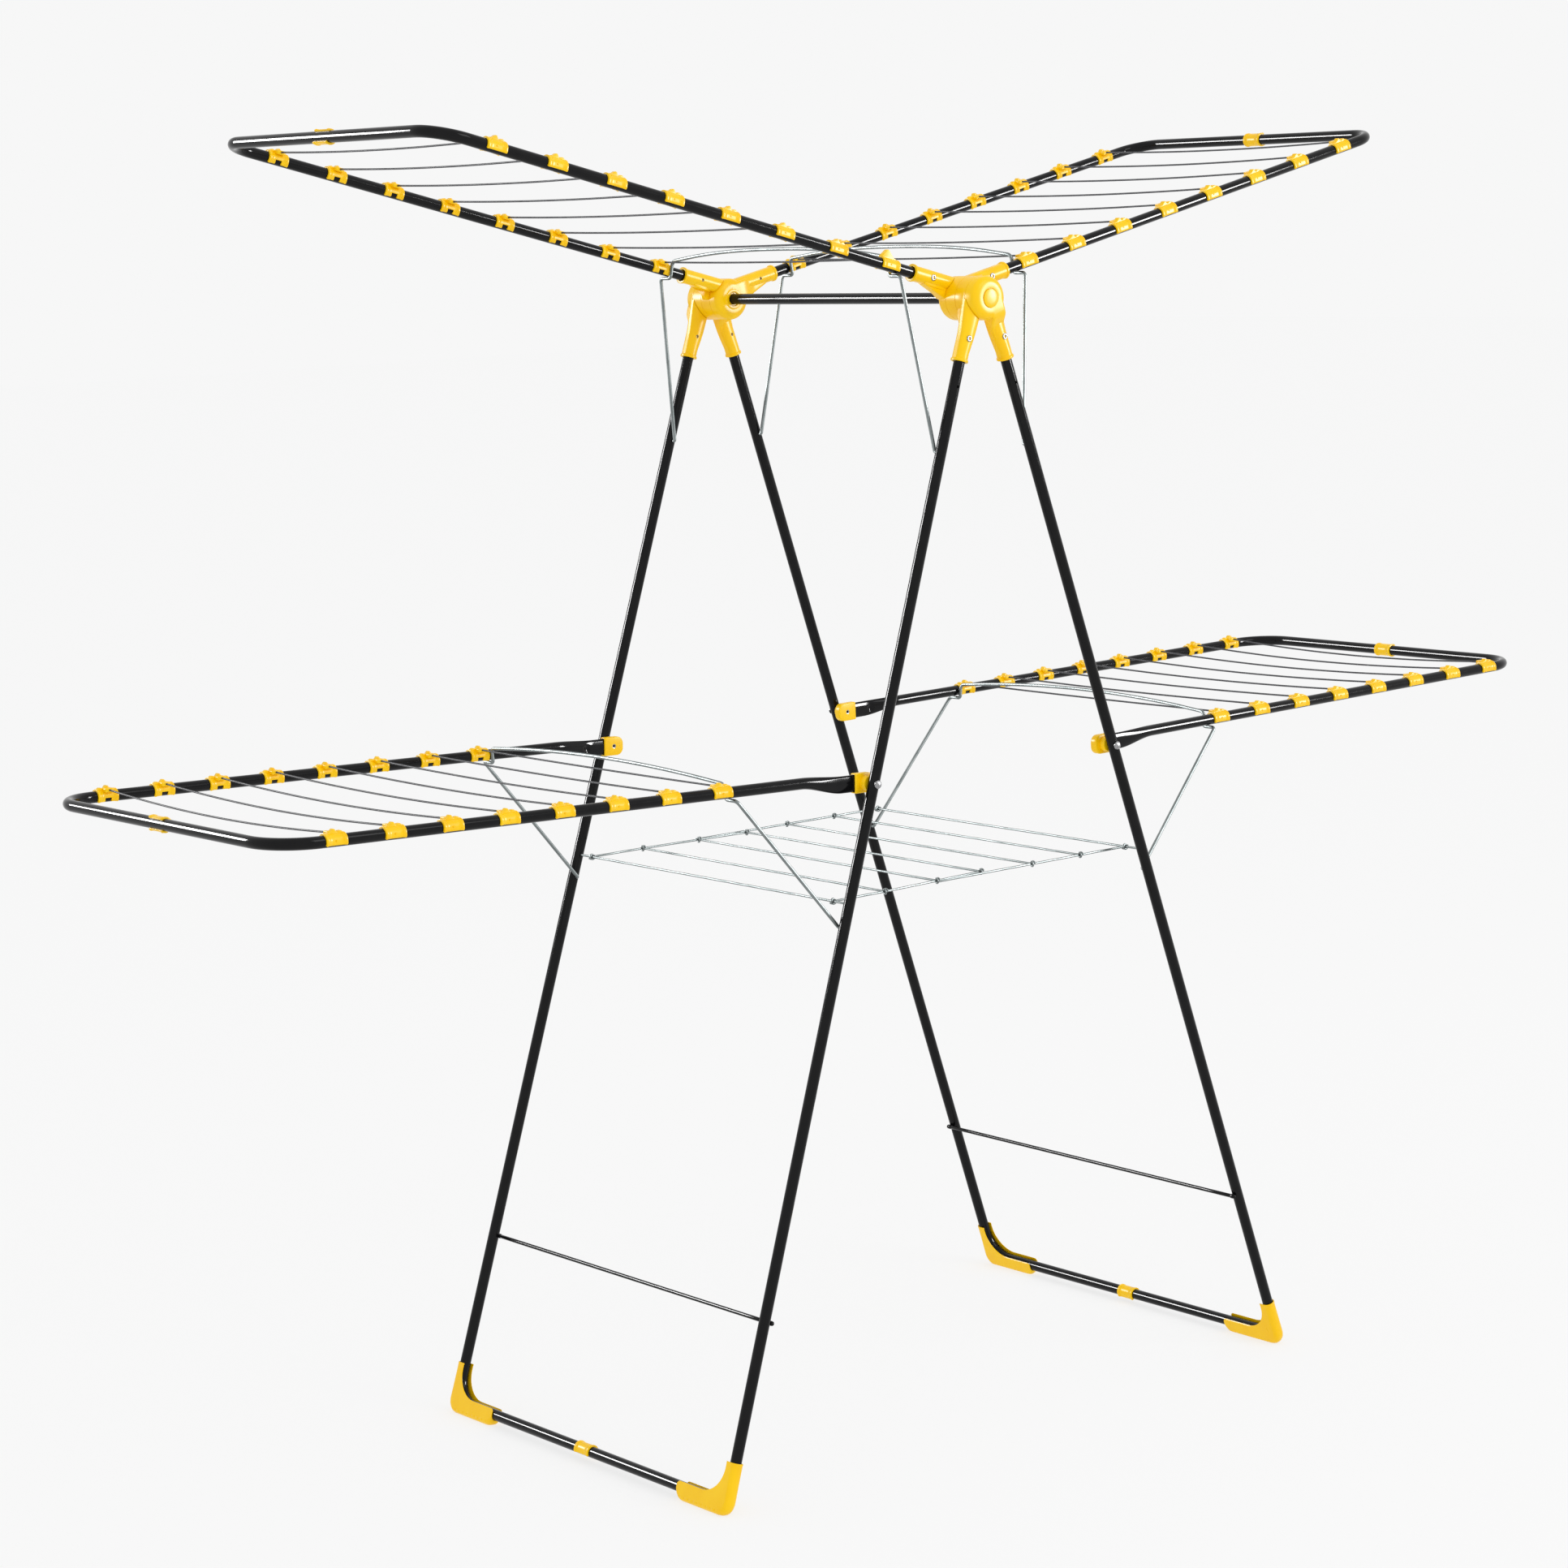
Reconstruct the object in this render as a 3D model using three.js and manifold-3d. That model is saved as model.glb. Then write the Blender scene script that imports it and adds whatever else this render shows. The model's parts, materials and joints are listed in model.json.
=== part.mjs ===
// A folding clothes drying rack: two U-shaped leg frames and two upper wings turn on one axle,
// two lower wings turn on rivets half way down the legs, wire stays prop the four wings, and a
// two-part wire shelf spreads the legs. Millimetres, +Z up, X along the wings, Y along the axle.
// The origin is on the floor under the middle of the rack.
import * as THREE from 'three';
import { mergeVertices } from 'three/addons/utils/BufferGeometryUtils.js';
import Module from 'manifold-3d';

const wasm = await Module();
wasm.setup();

// ---------------------------------------------------------------- driving dimensions
const HUB_HEIGHT = 1419; // axle above the floor
const GAP = 0.3; // clearance between pieces that touch
const TUBE_R = 7; // every steel tube is 14 mm outside
const TUBE_BORE_R = 6.2; // corner radius of the six-sided bore
const BORE_R = 7.7; // sockets that go over a tube

const LEG_LEAN = 18.15; // degrees from upright
const LEG_OFFSET = 13.7; // leg axis to axle, measured level
const LEG_LENGTH = 1480; // down the leg from axle level to the bottom bar
const LEG_Y_TOP = 265.2; // legs splay from this half width
const LEG_Y_FOOT = 282.4; // to this one
const LEG_BEND = 38;

const TUBE_START = 24.5; // where a tube begins inside its hub socket
const UPPER_LINE_ABOVE = 14; // upper wing rails pass this far above the axle
const UPPER_RISE = { left: 14.8, right: 12.66 }; // degrees
const UPPER_REACH = 786;
const UPPER_RAIL_Y = 225.3;
const UPPER_BEND = 42;
const UPPER_CLIP_FIRST = 120.5;
const UPPER_CLIP_PITCH = 83.65;

const LOWER_LEVEL = -572.2; // height of the lower rails' line at mid rack, below the axle
const LOWER_RISE = { left: 1.76, right: 1.07 };
const LOWER_REACH = 1026;
const LOWER_RAIL_Y = 247.3;
const LOWER_BEND = 55;
const LOWER_CLIP_FIRST = 419;
const LOWER_CLIP_PITCH = 76.5;
const LINES_PER_WING = 8;

const HUB_R = 27;
const HUB_CLEAR_R = 27.7; // neighbours' arms stay outside this radius
const HUB_SLICE = 17.55;
const HUB_OUTER_Y = 283.7;
const ARM_R = 9.75;
const ARM_END = 79;
const ARM_LIP_R = 11;
const ARM_ROOT = 44;
const HUB_RIVET_AT = 50;

const WING_PIVOT_AT = 602.5; // down the leg
const SHELF_PIVOT_AT = 750.3;
const CROSS_ROD_AT = 1260;
const UPPER_FOOT_AT = 192;
const LOWER_FOOT_AT = 780;
const UPPER_STAY_AT = 103.4; // along the rail
const LOWER_STAY_AT = 401.4;

const STAY_R = 2.25;
const STAY_UNDER = TUBE_R + STAY_R + 0.55; // stay axis below the rail axis
const STAY_BESIDE = 10.8; // stay axis beside the rail axis
// The bow of a stay between the rails: height at its ends and middle, shift along the wing.
const UPPER_BOW = { start: 12.5, top: 25, lean: 5, power: 2.4 };
const LOWER_BOW = { start: 9, top: 20, lean: 8, power: 2 };
const ROD_R = 2.5;
const SHELF_R = 1.75;
const LINE_R = 1.25;
const LINE_LEVEL = 9.6; // lines above the rail axis
const LINE_SAG = { upper: [2, 4], lower: [1, 8] }; // first line, last line

const HUB_RIVET_HOLE_R = 2.5;
const PIVOT_HOLE_R = 2.9;
const SHELF_HOLE_R = 2.3;
const HUB_CAP_R = 12.7;

const CLIP_LENGTH = 27;
const CLIP_IN_R = 7.4;
const CLIP_OUT_R = 9.1;
const BAR_CLIP_LENGTH = 28;
const LACING_BESIDE = 8.6; // lacing inside the rail axis
const LACING_WIDTH = 1.4;
const LACING_W = [-2.2, -0.8]; // lacing below the rail axis

const CAP_PAST = 15; // pivot cap beyond the rivet, both ways
const CAP_HALF_HEIGHT = 12.2;
const CAP_Y = [246.4, 256.4];
const FLAT_Y = 251.4; // middle of the flattened tube end
const FLAT_FROM = 32; // flattened up to here, from the rivet
const FLAT_TO = 94; // round from here

const SHOE_HALF = 8.4;
const SHOE_WALL = 1.4;
const SHOE_BORE_R = 7.5;
const SHOE_UP = 50;
const SHOE_INNER_Y = 193;
const SHOE_FILLET = 35;
const SHOE_CORNER = 15;

const SIDES = ['left', 'right'];
const ENDS = ['near', 'far'];
const signOf = { left: -1, right: 1, near: -1, far: 1 };
const rad = THREE.MathUtils.degToRad;

// ---------------------------------------------------------------- materials
function material(color, roughness, metalness) {
  return new THREE.MeshStandardMaterial({ color, roughness, metalness });
}
const blackTube = material(0x1c1c1e, 0.25, 0.3);
const yellowPlastic = material(0xf2b705, 0.35, 0);
const brightWire = material(0xb4bab8, 0.3, 0.9);
const greyLine = material(0x55585c, 0.5, 0);
const rivetSteel = material(0xc8c8c8, 0.25, 1);

// ---------------------------------------------------------------- solids
function solid(geometry) {
  const bare = geometry.clone();
  bare.deleteAttribute('normal');
  bare.deleteAttribute('uv');
  const merged = mergeVertices(bare, 1e-3);
  return new wasm.Manifold(new wasm.Mesh({
    numProp: 3,
    vertProperties: new Float32Array(merged.attributes.position.array),
    triVerts: new Uint32Array(merged.index.array),
  }));
}

function geometryOf(manifold) {
  const mesh = manifold.getMesh();
  const geometry = new THREE.BufferGeometry();
  geometry.setAttribute('position', new THREE.BufferAttribute(mesh.vertProperties, 3));
  geometry.setIndex(new THREE.BufferAttribute(mesh.triVerts, 1));
  geometry.computeVertexNormals();
  return geometry;
}

// A round bar from a to b.
function bar(a, b, radius, sides = 12, endRadius = radius) {
  const length = a.distanceTo(b);
  const geometry = new THREE.CylinderGeometry(endRadius, radius, length, sides, 1);
  const turn = new THREE.Quaternion().setFromUnitVectors(
    new THREE.Vector3(0, 1, 0), b.clone().sub(a).normalize());
  geometry.applyQuaternion(turn);
  geometry.translate(...a.clone().add(b).multiplyScalar(0.5).toArray());
  return solid(geometry);
}

// A round bar along Y at height z.
function crossBar(x, z, yFrom, yTo, radius, sides = 12) {
  return bar(new THREE.Vector3(x, yFrom, z), new THREE.Vector3(x, yTo, z), radius, sides);
}

// A flat ring or polygon outline with a number of sides.
function polygon(radius, sides) {
  const points = [];
  for (let i = 0; i < sides; i += 1) {
    const angle = (i / sides) * Math.PI * 2;
    points.push(new THREE.Vector2(radius * Math.cos(angle), radius * Math.sin(angle)));
  }
  return points;
}

// A route of straight runs joined by round bends. Its stations are the corners' tangent points
// and a few points round each bend, so a straight run is one step. A corner that turns less
// than five degrees is a plain station.
class Route extends THREE.Curve {
  constructor(corners, bend, bendSteps = 4) {
    super();
    this.points = [corners[0]];
    this.headings = [corners[1].clone().sub(corners[0]).normalize()];
    for (let i = 1; i < corners.length - 1; i += 1) {
      const radius = Array.isArray(bend) ? bend[i] : bend;
      this.addCorner(corners[i - 1], corners[i], corners[i + 1], radius, bendSteps);
    }
    const last = corners.length - 1;
    this.points.push(corners[last]);
    this.headings.push(corners[last].clone().sub(corners[last - 1]).normalize());
  }

  addCorner(before, corner, after, radius, bendSteps) {
    const into = corner.clone().sub(before).normalize();
    const out = after.clone().sub(corner).normalize();
    const turn = into.angleTo(out);
    if (turn < rad(5)) {
      this.points.push(corner);
      this.headings.push(into.add(out).normalize());
      return;
    }
    const axis = into.clone().cross(out).normalize();
    const start = corner.clone().addScaledVector(into, -radius * Math.tan(turn / 2));
    const centre = start.clone().addScaledVector(axis.clone().cross(into), radius);
    for (let k = 0; k <= bendSteps; k += 1) {
      const angle = (turn * k) / bendSteps;
      this.points.push(start.clone().sub(centre).applyAxisAngle(axis, angle).add(centre));
      this.headings.push(into.clone().applyAxisAngle(axis, angle));
    }
  }

  getPointAt(t, target = new THREE.Vector3()) {
    return target.copy(this.points[Math.round(t * (this.points.length - 1))]);
  }

  getTangentAt(t, target = new THREE.Vector3()) {
    return target.copy(this.headings[Math.round(t * (this.points.length - 1))]);
  }
}

function sweep(route, radius, sides, boreRadius = 0, boreSides = 6) {
  const section = new THREE.Shape(polygon(radius, sides));
  if (boreRadius > 0) {
    section.holes.push(new THREE.Path(polygon(boreRadius, boreSides)));
  }
  return new THREE.ExtrudeGeometry(section, {
    steps: route.points.length - 1, bevelEnabled: false, extrudePath: route,
  });
}

// ---------------------------------------------------------------- slanted planes
// Leg frames and wings are flat frames in planes through Y. A plane gives the place of a point
// from its distance along the slope, its y and its height off the plane.
function slopedPlane(side, x, z, angle) {
  const sign = signOf[side];
  const along = new THREE.Vector3(sign * Math.cos(rad(angle)), 0, Math.sin(rad(angle)));
  const normal = new THREE.Vector3(-sign * Math.sin(rad(angle)), 0, Math.cos(rad(angle)));
  const origin = new THREE.Vector3(sign * x, 0, z);
  return {
    along,
    normal,
    at: (s, y, w = 0) => origin.clone().addScaledVector(along, s).addScaledVector(normal, w)
      .add(new THREE.Vector3(0, y, 0)),
    find: (point) => {
      const from = point.clone().sub(origin);
      return { s: from.dot(along), w: from.dot(normal) };
    },
    // Local x along the slope, local y along Y, local z off the plane.
    matrix: new THREE.Matrix4().makeBasis(along, new THREE.Vector3(0, 1, 0), normal)
      .setPosition(origin),
  };
}

const legPlane = {};
const upperPlane = {};
const lowerPlane = {};
for (const side of SIDES) {
  legPlane[side] = slopedPlane(side, LEG_OFFSET, 0, LEG_LEAN - 90);
  upperPlane[side] = slopedPlane(side, 0, UPPER_LINE_ABOVE, UPPER_RISE[side]);
  lowerPlane[side] = slopedPlane(side, 0, LOWER_LEVEL, LOWER_RISE[side]);
}

function legHalfWidth(s) {
  return LEG_Y_TOP + ((LEG_Y_FOOT - LEG_Y_TOP) * s) / LEG_LENGTH;
}

// A block in a sloped plane. Its faces are given as ranges along the slope, in y and off it.
function slopedBlock(plane, side, sRange, yRange, wRange) {
  const geometry = new THREE.BoxGeometry(
    sRange[1] - sRange[0], yRange[1] - yRange[0], wRange[1] - wRange[0]);
  geometry.translate(
    (sRange[0] + sRange[1]) / 2, (yRange[0] + yRange[1]) / 2, (wRange[0] + wRange[1]) / 2);
  return placeInPlane(geometry, plane, side);
}

// The left planes' basis is a mirror image, so their faces are turned back to point out.
function placeInPlane(geometry, plane, side) {
  geometry.applyMatrix4(plane.matrix);
  if (plane.matrix.determinant() < 0) {
    flipFaces(geometry);
  }
  return solid(geometry);
}

function flipFaces(geometry) {
  if (!geometry.index) {
    geometry.setIndex([...Array(geometry.attributes.position.count).keys()]);
  }
  const index = geometry.index.array;
  for (let i = 0; i < index.length; i += 3) {
    [index[i], index[i + 1]] = [index[i + 1], index[i]];
  }
}

// ---------------------------------------------------------------- leg frames
function legRoute(side) {
  const plane = legPlane[side];
  const foot = legHalfWidth(LEG_LENGTH);
  const top = legHalfWidth(TUBE_START);
  return new Route([
    plane.at(TUBE_START, -top), plane.at(LEG_LENGTH, -foot),
    plane.at(LEG_LENGTH, foot), plane.at(TUBE_START, top),
  ], LEG_BEND);
}

function legPoint(side, s) {
  return legPlane[side].at(s, 0);
}

function legFrame(side) {
  let frame = solid(sweep(legRoute(side), TUBE_R, 10, TUBE_BORE_R));
  for (const end of ENDS) {
    const sign = signOf[end];
    const hub = legPoint(side, HUB_RIVET_AT);
    const pivot = legPoint(side, WING_PIVOT_AT);
    const shelf = legPoint(side, SHELF_PIVOT_AT);
    const shelfY = legHalfWidth(SHELF_PIVOT_AT);
    frame = frame
      .subtract(crossBar(hub.x, hub.z, sign * 250, sign * 285, HUB_RIVET_HOLE_R, 6))
      .subtract(crossBar(pivot.x, pivot.z, sign * 260, sign * 290, PIVOT_HOLE_R, 8))
      .subtract(crossBar(shelf.x, shelf.z, sign * (shelfY - 12), sign * shelfY, SHELF_HOLE_R, 6));
  }
  return geometryOf(frame);
}

function crossRod(side) {
  const y = legHalfWidth(CROSS_ROD_AT) + 4;
  const place = legPlane[side].at(CROSS_ROD_AT, 0, -(TUBE_R + ROD_R + GAP));
  return geometryOf(crossBar(place.x, place.z, -y, y, ROD_R, 8));
}

// An L-shaped channel round the tube's corner, open to the inside, cut flat at the floor.
function footShoe(side, end) {
  const plane = legPlane[side];
  const sign = signOf[end];
  const outer = LEG_Y_FOOT + TUBE_R + SHOE_WALL;
  const inner = LEG_Y_FOOT - TUBE_R - SHOE_WALL;
  const low = LEG_LENGTH + 24;
  const high = LEG_LENGTH - SHOE_UP;
  const barTop = LEG_LENGTH - TUBE_R - SHOE_WALL;
  const outline = new THREE.Shape();
  outline.moveTo(high, inner);
  outline.lineTo(barTop - SHOE_FILLET, inner);
  outline.absarc(barTop - SHOE_FILLET, inner - SHOE_FILLET, SHOE_FILLET, Math.PI / 2, 0, true);
  outline.lineTo(barTop, SHOE_INNER_Y);
  outline.lineTo(low, SHOE_INNER_Y);
  outline.lineTo(low, outer - SHOE_CORNER * 2);
  outline.lineTo(low - SHOE_CORNER, outer - SHOE_CORNER * 0.6);
  outline.lineTo(low - SHOE_CORNER * 2, outer);
  outline.lineTo(high, outer);
  const shell = new THREE.ExtrudeGeometry(outline, {
    depth: SHOE_HALF * 2, bevelEnabled: false, curveSegments: 4,
  });
  const inside = new THREE.Shape();
  inside.moveTo(high - 10, LEG_Y_FOOT);
  inside.lineTo(LEG_LENGTH - LEG_BEND, LEG_Y_FOOT);
  inside.absarc(LEG_LENGTH - LEG_BEND, LEG_Y_FOOT - LEG_BEND, LEG_BEND, Math.PI / 2, 0, true);
  inside.lineTo(LEG_LENGTH, SHOE_INNER_Y - 10);
  inside.lineTo(high - 10, SHOE_INNER_Y - 10);
  const slot = new THREE.ExtrudeGeometry(inside, {
    depth: SHOE_BORE_R * 2, bevelEnabled: false, curveSegments: 4,
  });
  shell.translate(0, 0, -SHOE_HALF);
  slot.translate(0, 0, -SHOE_BORE_R);
  for (const geometry of [shell, slot]) {
    if (sign < 0) {
      geometry.scale(1, -1, 1);
      flipFaces(geometry);
    }
  }
  const floor = new THREE.BoxGeometry(400, 400, 100);
  const corner = plane.at(LEG_LENGTH, sign * LEG_Y_FOOT);
  floor.translate(corner.x, corner.y, -HUB_HEIGHT - 50);
  const tube = new Route([
    plane.at(high - 20, sign * legHalfWidth(high)), plane.at(LEG_LENGTH, sign * LEG_Y_FOOT),
    plane.at(LEG_LENGTH, sign * (SHOE_INNER_Y - 20)),
  ], LEG_BEND);
  return geometryOf(placeInPlane(shell, plane, side)
    .subtract(placeInPlane(slot, plane, side))
    .subtract(solid(sweep(tube, SHOE_BORE_R, 10)))
    .subtract(solid(floor)));
}

// ---------------------------------------------------------------- hubs
// Slices of each hub, from -Y to +Y.
const HUB_ORDER = {
  near: [['right', 'leg'], ['left', 'leg'], ['right', 'wing'], ['left', 'wing']],
  far: [['right', 'wing'], ['left', 'wing'], ['right', 'leg'], ['left', 'leg']],
};

function hubSliceStart(end, index) {
  const low = end === 'near' ? -HUB_OUTER_Y : HUB_OUTER_Y - HUB_SLICE * 4;
  return low + index * HUB_SLICE;
}

function hubSocket(side, kind, end, index) {
  const plane = kind === 'leg' ? legPlane[side] : upperPlane[side];
  const armY = signOf[end] * (kind === 'leg' ? legHalfWidth(HUB_RIVET_AT) : UPPER_RAIL_Y);
  const yLow = hubSliceStart(end, index) + GAP / 2;
  const yHigh = yLow + HUB_SLICE - GAP;
  const arm = bar(plane.at(2, armY), plane.at(ARM_END, armY), ARM_R, 10)
    .add(bar(plane.at(ARM_END - 4, armY), plane.at(ARM_END, armY), ARM_LIP_R, 10))
    .subtract(crossBar(0, 0, yLow - 60, yLow, HUB_CLEAR_R, 18))
    .subtract(crossBar(0, 0, yHigh, yHigh + 60, HUB_CLEAR_R, 18));
  const root = slopedBlock(plane, side, [0, ARM_ROOT], [yLow, yHigh], [-ARM_R + 1, ARM_R - 1]);
  const rivet = plane.at(HUB_RIVET_AT, armY);
  return geometryOf(crossBar(0, 0, yLow, yHigh, HUB_R, 18)
    .add(root)
    .add(arm)
    .subtract(bar(plane.at(TUBE_START - 0.6, armY), plane.at(ARM_END + 5, armY), BORE_R, 10))
    .subtract(crossBar(0, 0, yLow - 1, yHigh + 1, BORE_R, 12))
    .subtract(crossBar(rivet.x, rivet.z, armY - 25, armY + 25, HUB_RIVET_HOLE_R, 6)));
}

// The rivet through a hub arm and its tube, with its head on the outer side.
function hubRivet(side, kind, end) {
  const plane = kind === 'leg' ? legPlane[side] : upperPlane[side];
  const sign = signOf[end];
  const armY = sign * (kind === 'leg' ? legHalfWidth(HUB_RIVET_AT) : UPPER_RAIL_Y);
  const place = plane.at(HUB_RIVET_AT, 0);
  const shaftEnd = armY - sign * (ARM_R + 0.4);
  const seat = armY + sign * (ARM_R + GAP);
  return geometryOf(crossBar(place.x, place.z, shaftEnd, seat + sign * 0.5, 2.1, 6)
    .add(crossBar(place.x, place.z, seat, seat + sign * 1.3, 4, 8)));
}

function hubEndCap(end) {
  const sign = signOf[end];
  const face = HUB_OUTER_Y + GAP;
  const profile = [
    new THREE.Vector2(0, face), new THREE.Vector2(HUB_CAP_R, face),
    new THREE.Vector2(HUB_CAP_R, face + 1.4),
    new THREE.Vector2(9, face + 2.6), new THREE.Vector2(0, face + 3),
  ];
  const geometry = new THREE.LatheGeometry(profile, 16);
  if (sign < 0) {
    geometry.rotateX(Math.PI);
  }
  return geometryOf(solid(geometry));
}

function axle() {
  const ends = [new THREE.Vector3(0, -HUB_OUTER_Y, 0), new THREE.Vector3(0, HUB_OUTER_Y, 0)];
  return geometryOf(solid(sweep(new Route(ends, 0), TUBE_R, 12, TUBE_BORE_R)));
}

// ---------------------------------------------------------------- wings
function wingRoute(plane, start, reach, railY, bend, stops = []) {
  const near = [start, ...stops].map((s) => plane.at(s, -railY));
  const far = [start, ...stops].map((s) => plane.at(s, railY)).reverse();
  return new Route([...near, plane.at(reach, -railY), plane.at(reach, railY), ...far], bend);
}

function upperFrame(side) {
  const plane = upperPlane[side];
  const route = wingRoute(plane, TUBE_START, UPPER_REACH, UPPER_RAIL_Y, UPPER_BEND);
  const rivet = plane.at(HUB_RIVET_AT, 0);
  let frame = solid(sweep(route, TUBE_R, 10, TUBE_BORE_R));
  for (const end of ENDS) {
    const y = signOf[end] * UPPER_RAIL_Y;
    frame = frame.subtract(crossBar(rivet.x, rivet.z, y - 12, y + 12, HUB_RIVET_HOLE_R, 6));
  }
  return geometryOf(frame);
}

// The lower rails end pressed flat and bent down to their pivots on the legs.
function lowerFrame(side) {
  const plane = lowerPlane[side];
  const pivot = legPoint(side, WING_PIVOT_AT);
  const hinge = plane.find(pivot);
  const stops = [FLAT_FROM, FLAT_FROM + 22, FLAT_FROM + 45, FLAT_TO].map((d) => hinge.s + d);
  const route = wingRoute(plane, hinge.s - 10, LOWER_REACH, LOWER_RAIL_Y, LOWER_BEND, stops);
  const geometry = sweep(route, TUBE_R, 10, TUBE_BORE_R);
  const position = geometry.attributes.position;
  for (let i = 0; i < position.count; i += 1) {
    const point = new THREE.Vector3().fromBufferAttribute(position, i);
    const { s, w } = plane.find(point);
    const flat = 1 - THREE.MathUtils.smoothstep(s - hinge.s, FLAT_FROM, FLAT_TO);
    if (flat > 0) {
      const fromRail = Math.abs(point.y) - LOWER_RAIL_Y;
      const y = LOWER_RAIL_Y + fromRail * (1 - 0.6 * flat) + (FLAT_Y - LOWER_RAIL_Y) * flat;
      const moved = plane.at(s, Math.sign(point.y) * y, w * (1 + 0.5 * flat) + hinge.w * flat);
      position.setXYZ(i, moved.x, moved.y, moved.z);
    }
  }
  let frame = solid(geometry);
  for (const end of ENDS) {
    const sign = signOf[end];
    frame = frame.subtract(crossBar(pivot.x, pivot.z, sign * 244, sign * 260, PIVOT_HOLE_R, 8));
  }
  return geometryOf(frame);
}

// The plastic cap over a flattened rail end, with a spacer boss against the leg.
function pivotCap(side, end) {
  const plane = lowerPlane[side];
  const sign = signOf[end];
  const pivot = legPoint(side, WING_PIVOT_AT);
  const hinge = plane.find(pivot);
  const outline = new THREE.Shape();
  outline.moveTo(CAP_PAST, -CAP_HALF_HEIGHT);
  outline.lineTo(CAP_PAST, CAP_HALF_HEIGHT);
  outline.lineTo(0, CAP_HALF_HEIGHT);
  outline.absellipse(0, 0, CAP_PAST, CAP_HALF_HEIGHT, Math.PI / 2, Math.PI * 1.5, false, 0);
  const geometry = new THREE.ExtrudeGeometry(outline, {
    depth: CAP_Y[1] - CAP_Y[0], bevelEnabled: false, curveSegments: 8,
  });
  geometry.rotateX(Math.PI / 2);
  geometry.translate(hinge.s, sign > 0 ? CAP_Y[1] : -CAP_Y[0], hinge.w);
  const legFace = legHalfWidth(WING_PIVOT_AT) - TUBE_R - 0.5;
  const pocket = slopedBlock(
    plane, side, [hinge.s - 10.5, hinge.s + CAP_PAST + 1],
    sign > 0 ? [FLAT_Y - 3.1, FLAT_Y + 3.1] : [-FLAT_Y - 3.1, -FLAT_Y + 3.1],
    [hinge.w - 10.9, hinge.w + 10.9]);
  return geometryOf(placeInPlane(geometry, plane, side)
    .add(crossBar(pivot.x, pivot.z, sign * (CAP_Y[1] - 1), sign * legFace, 9, 12))
    .subtract(pocket)
    .subtract(crossBar(pivot.x, pivot.z, sign * 240, sign * 270, PIVOT_HOLE_R, 8)));
}

function pivotRivet(side, end) {
  const sign = signOf[end];
  const pivot = legPoint(side, WING_PIVOT_AT);
  const legY = legHalfWidth(WING_PIVOT_AT);
  const seat = legY + TUBE_R + GAP;
  return geometryOf(crossBar(pivot.x, pivot.z, sign * (CAP_Y[0] + 0.2), sign * (seat + 1), 2.5, 8)
    .add(bar(new THREE.Vector3(pivot.x, sign * seat, pivot.z),
      new THREE.Vector3(pivot.x, sign * (seat + 3.4), pivot.z), 5.4, 10, 3)));
}

// ---------------------------------------------------------------- clips and lines
// A saddle section over the top of a tube, with a ridge on top that takes the line.
function saddleSection(outerRadius, ridge) {
  const shape = new THREE.Shape();
  const from = rad(-42);
  const to = rad(222);
  const steps = 4;
  for (let i = 0; i <= steps; i += 1) {
    const angle = from + ((to - from) * i) / steps;
    const radius = outerRadius + (i === steps / 2 ? ridge : 0);
    const point = [radius * Math.cos(angle), radius * Math.sin(angle)];
    if (i === 0) {
      shape.moveTo(...point);
    } else {
      shape.lineTo(...point);
    }
  }
  const inside = CLIP_IN_R / Math.cos((to - from) / steps / 2);
  for (let i = steps; i >= 0; i -= 1) {
    const angle = from + ((to - from) * i) / steps;
    shape.lineTo(inside * Math.cos(angle), inside * Math.sin(angle));
  }
  return shape;
}

function saddle(length, ridge) {
  const outside = CLIP_OUT_R / Math.cos(rad(33));
  const geometry = new THREE.ExtrudeGeometry(saddleSection(outside, ridge), {
    depth: length, bevelEnabled: false,
  });
  geometry.translate(0, 0, -length / 2);
  return geometry;
}

// The small clip in the middle of an end bar. It opens away from the middle of the frame.
function barClip(plane, side, s) {
  const geometry = saddle(BAR_CLIP_LENGTH, 0);
  geometry.rotateZ(Math.PI / 2);
  geometry.rotateX(Math.PI / 2);
  geometry.translate(s, 0, 0);
  return geometryOf(placeInPlane(geometry, plane, side));
}

// Eight lines, their sixteen clips and the lacing that runs from clip to clip along the rails.
function lineSet(plane, side, railY, first, pitch, sag) {
  let set = null;
  for (let i = 0; i < LINES_PER_WING; i += 1) {
    const s = first + i * pitch;
    const dip = sag[0] + ((sag[1] - sag[0]) * i) / (LINES_PER_WING - 1);
    const stops = [-1, -0.5, 0, 0.5, 1].map((t) => plane.at(
      s, t * (railY - 2), LINE_LEVEL - dip * (1 - t * t)));
    const line = solid(sweep(new Route(stops, 0), LINE_R, 5));
    set = set ? set.add(line) : line;
    for (const end of ENDS) {
      const geometry = saddle(CLIP_LENGTH, 2.2);
      geometry.rotateX(Math.PI / 2);
      geometry.rotateZ(Math.PI / 2);
      geometry.translate(s, signOf[end] * railY, 0);
      set = set.add(placeInPlane(geometry, plane, side));
    }
  }
  const last = first + (LINES_PER_WING - 1) * pitch;
  for (const end of ENDS) {
    const y = signOf[end] * (railY - LACING_BESIDE);
    const yRange = [y - LACING_WIDTH / 2, y + LACING_WIDTH / 2];
    set = set.add(slopedBlock(plane, side, [first, last], yRange, LACING_W));
  }
  return geometryOf(set);
}

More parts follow.
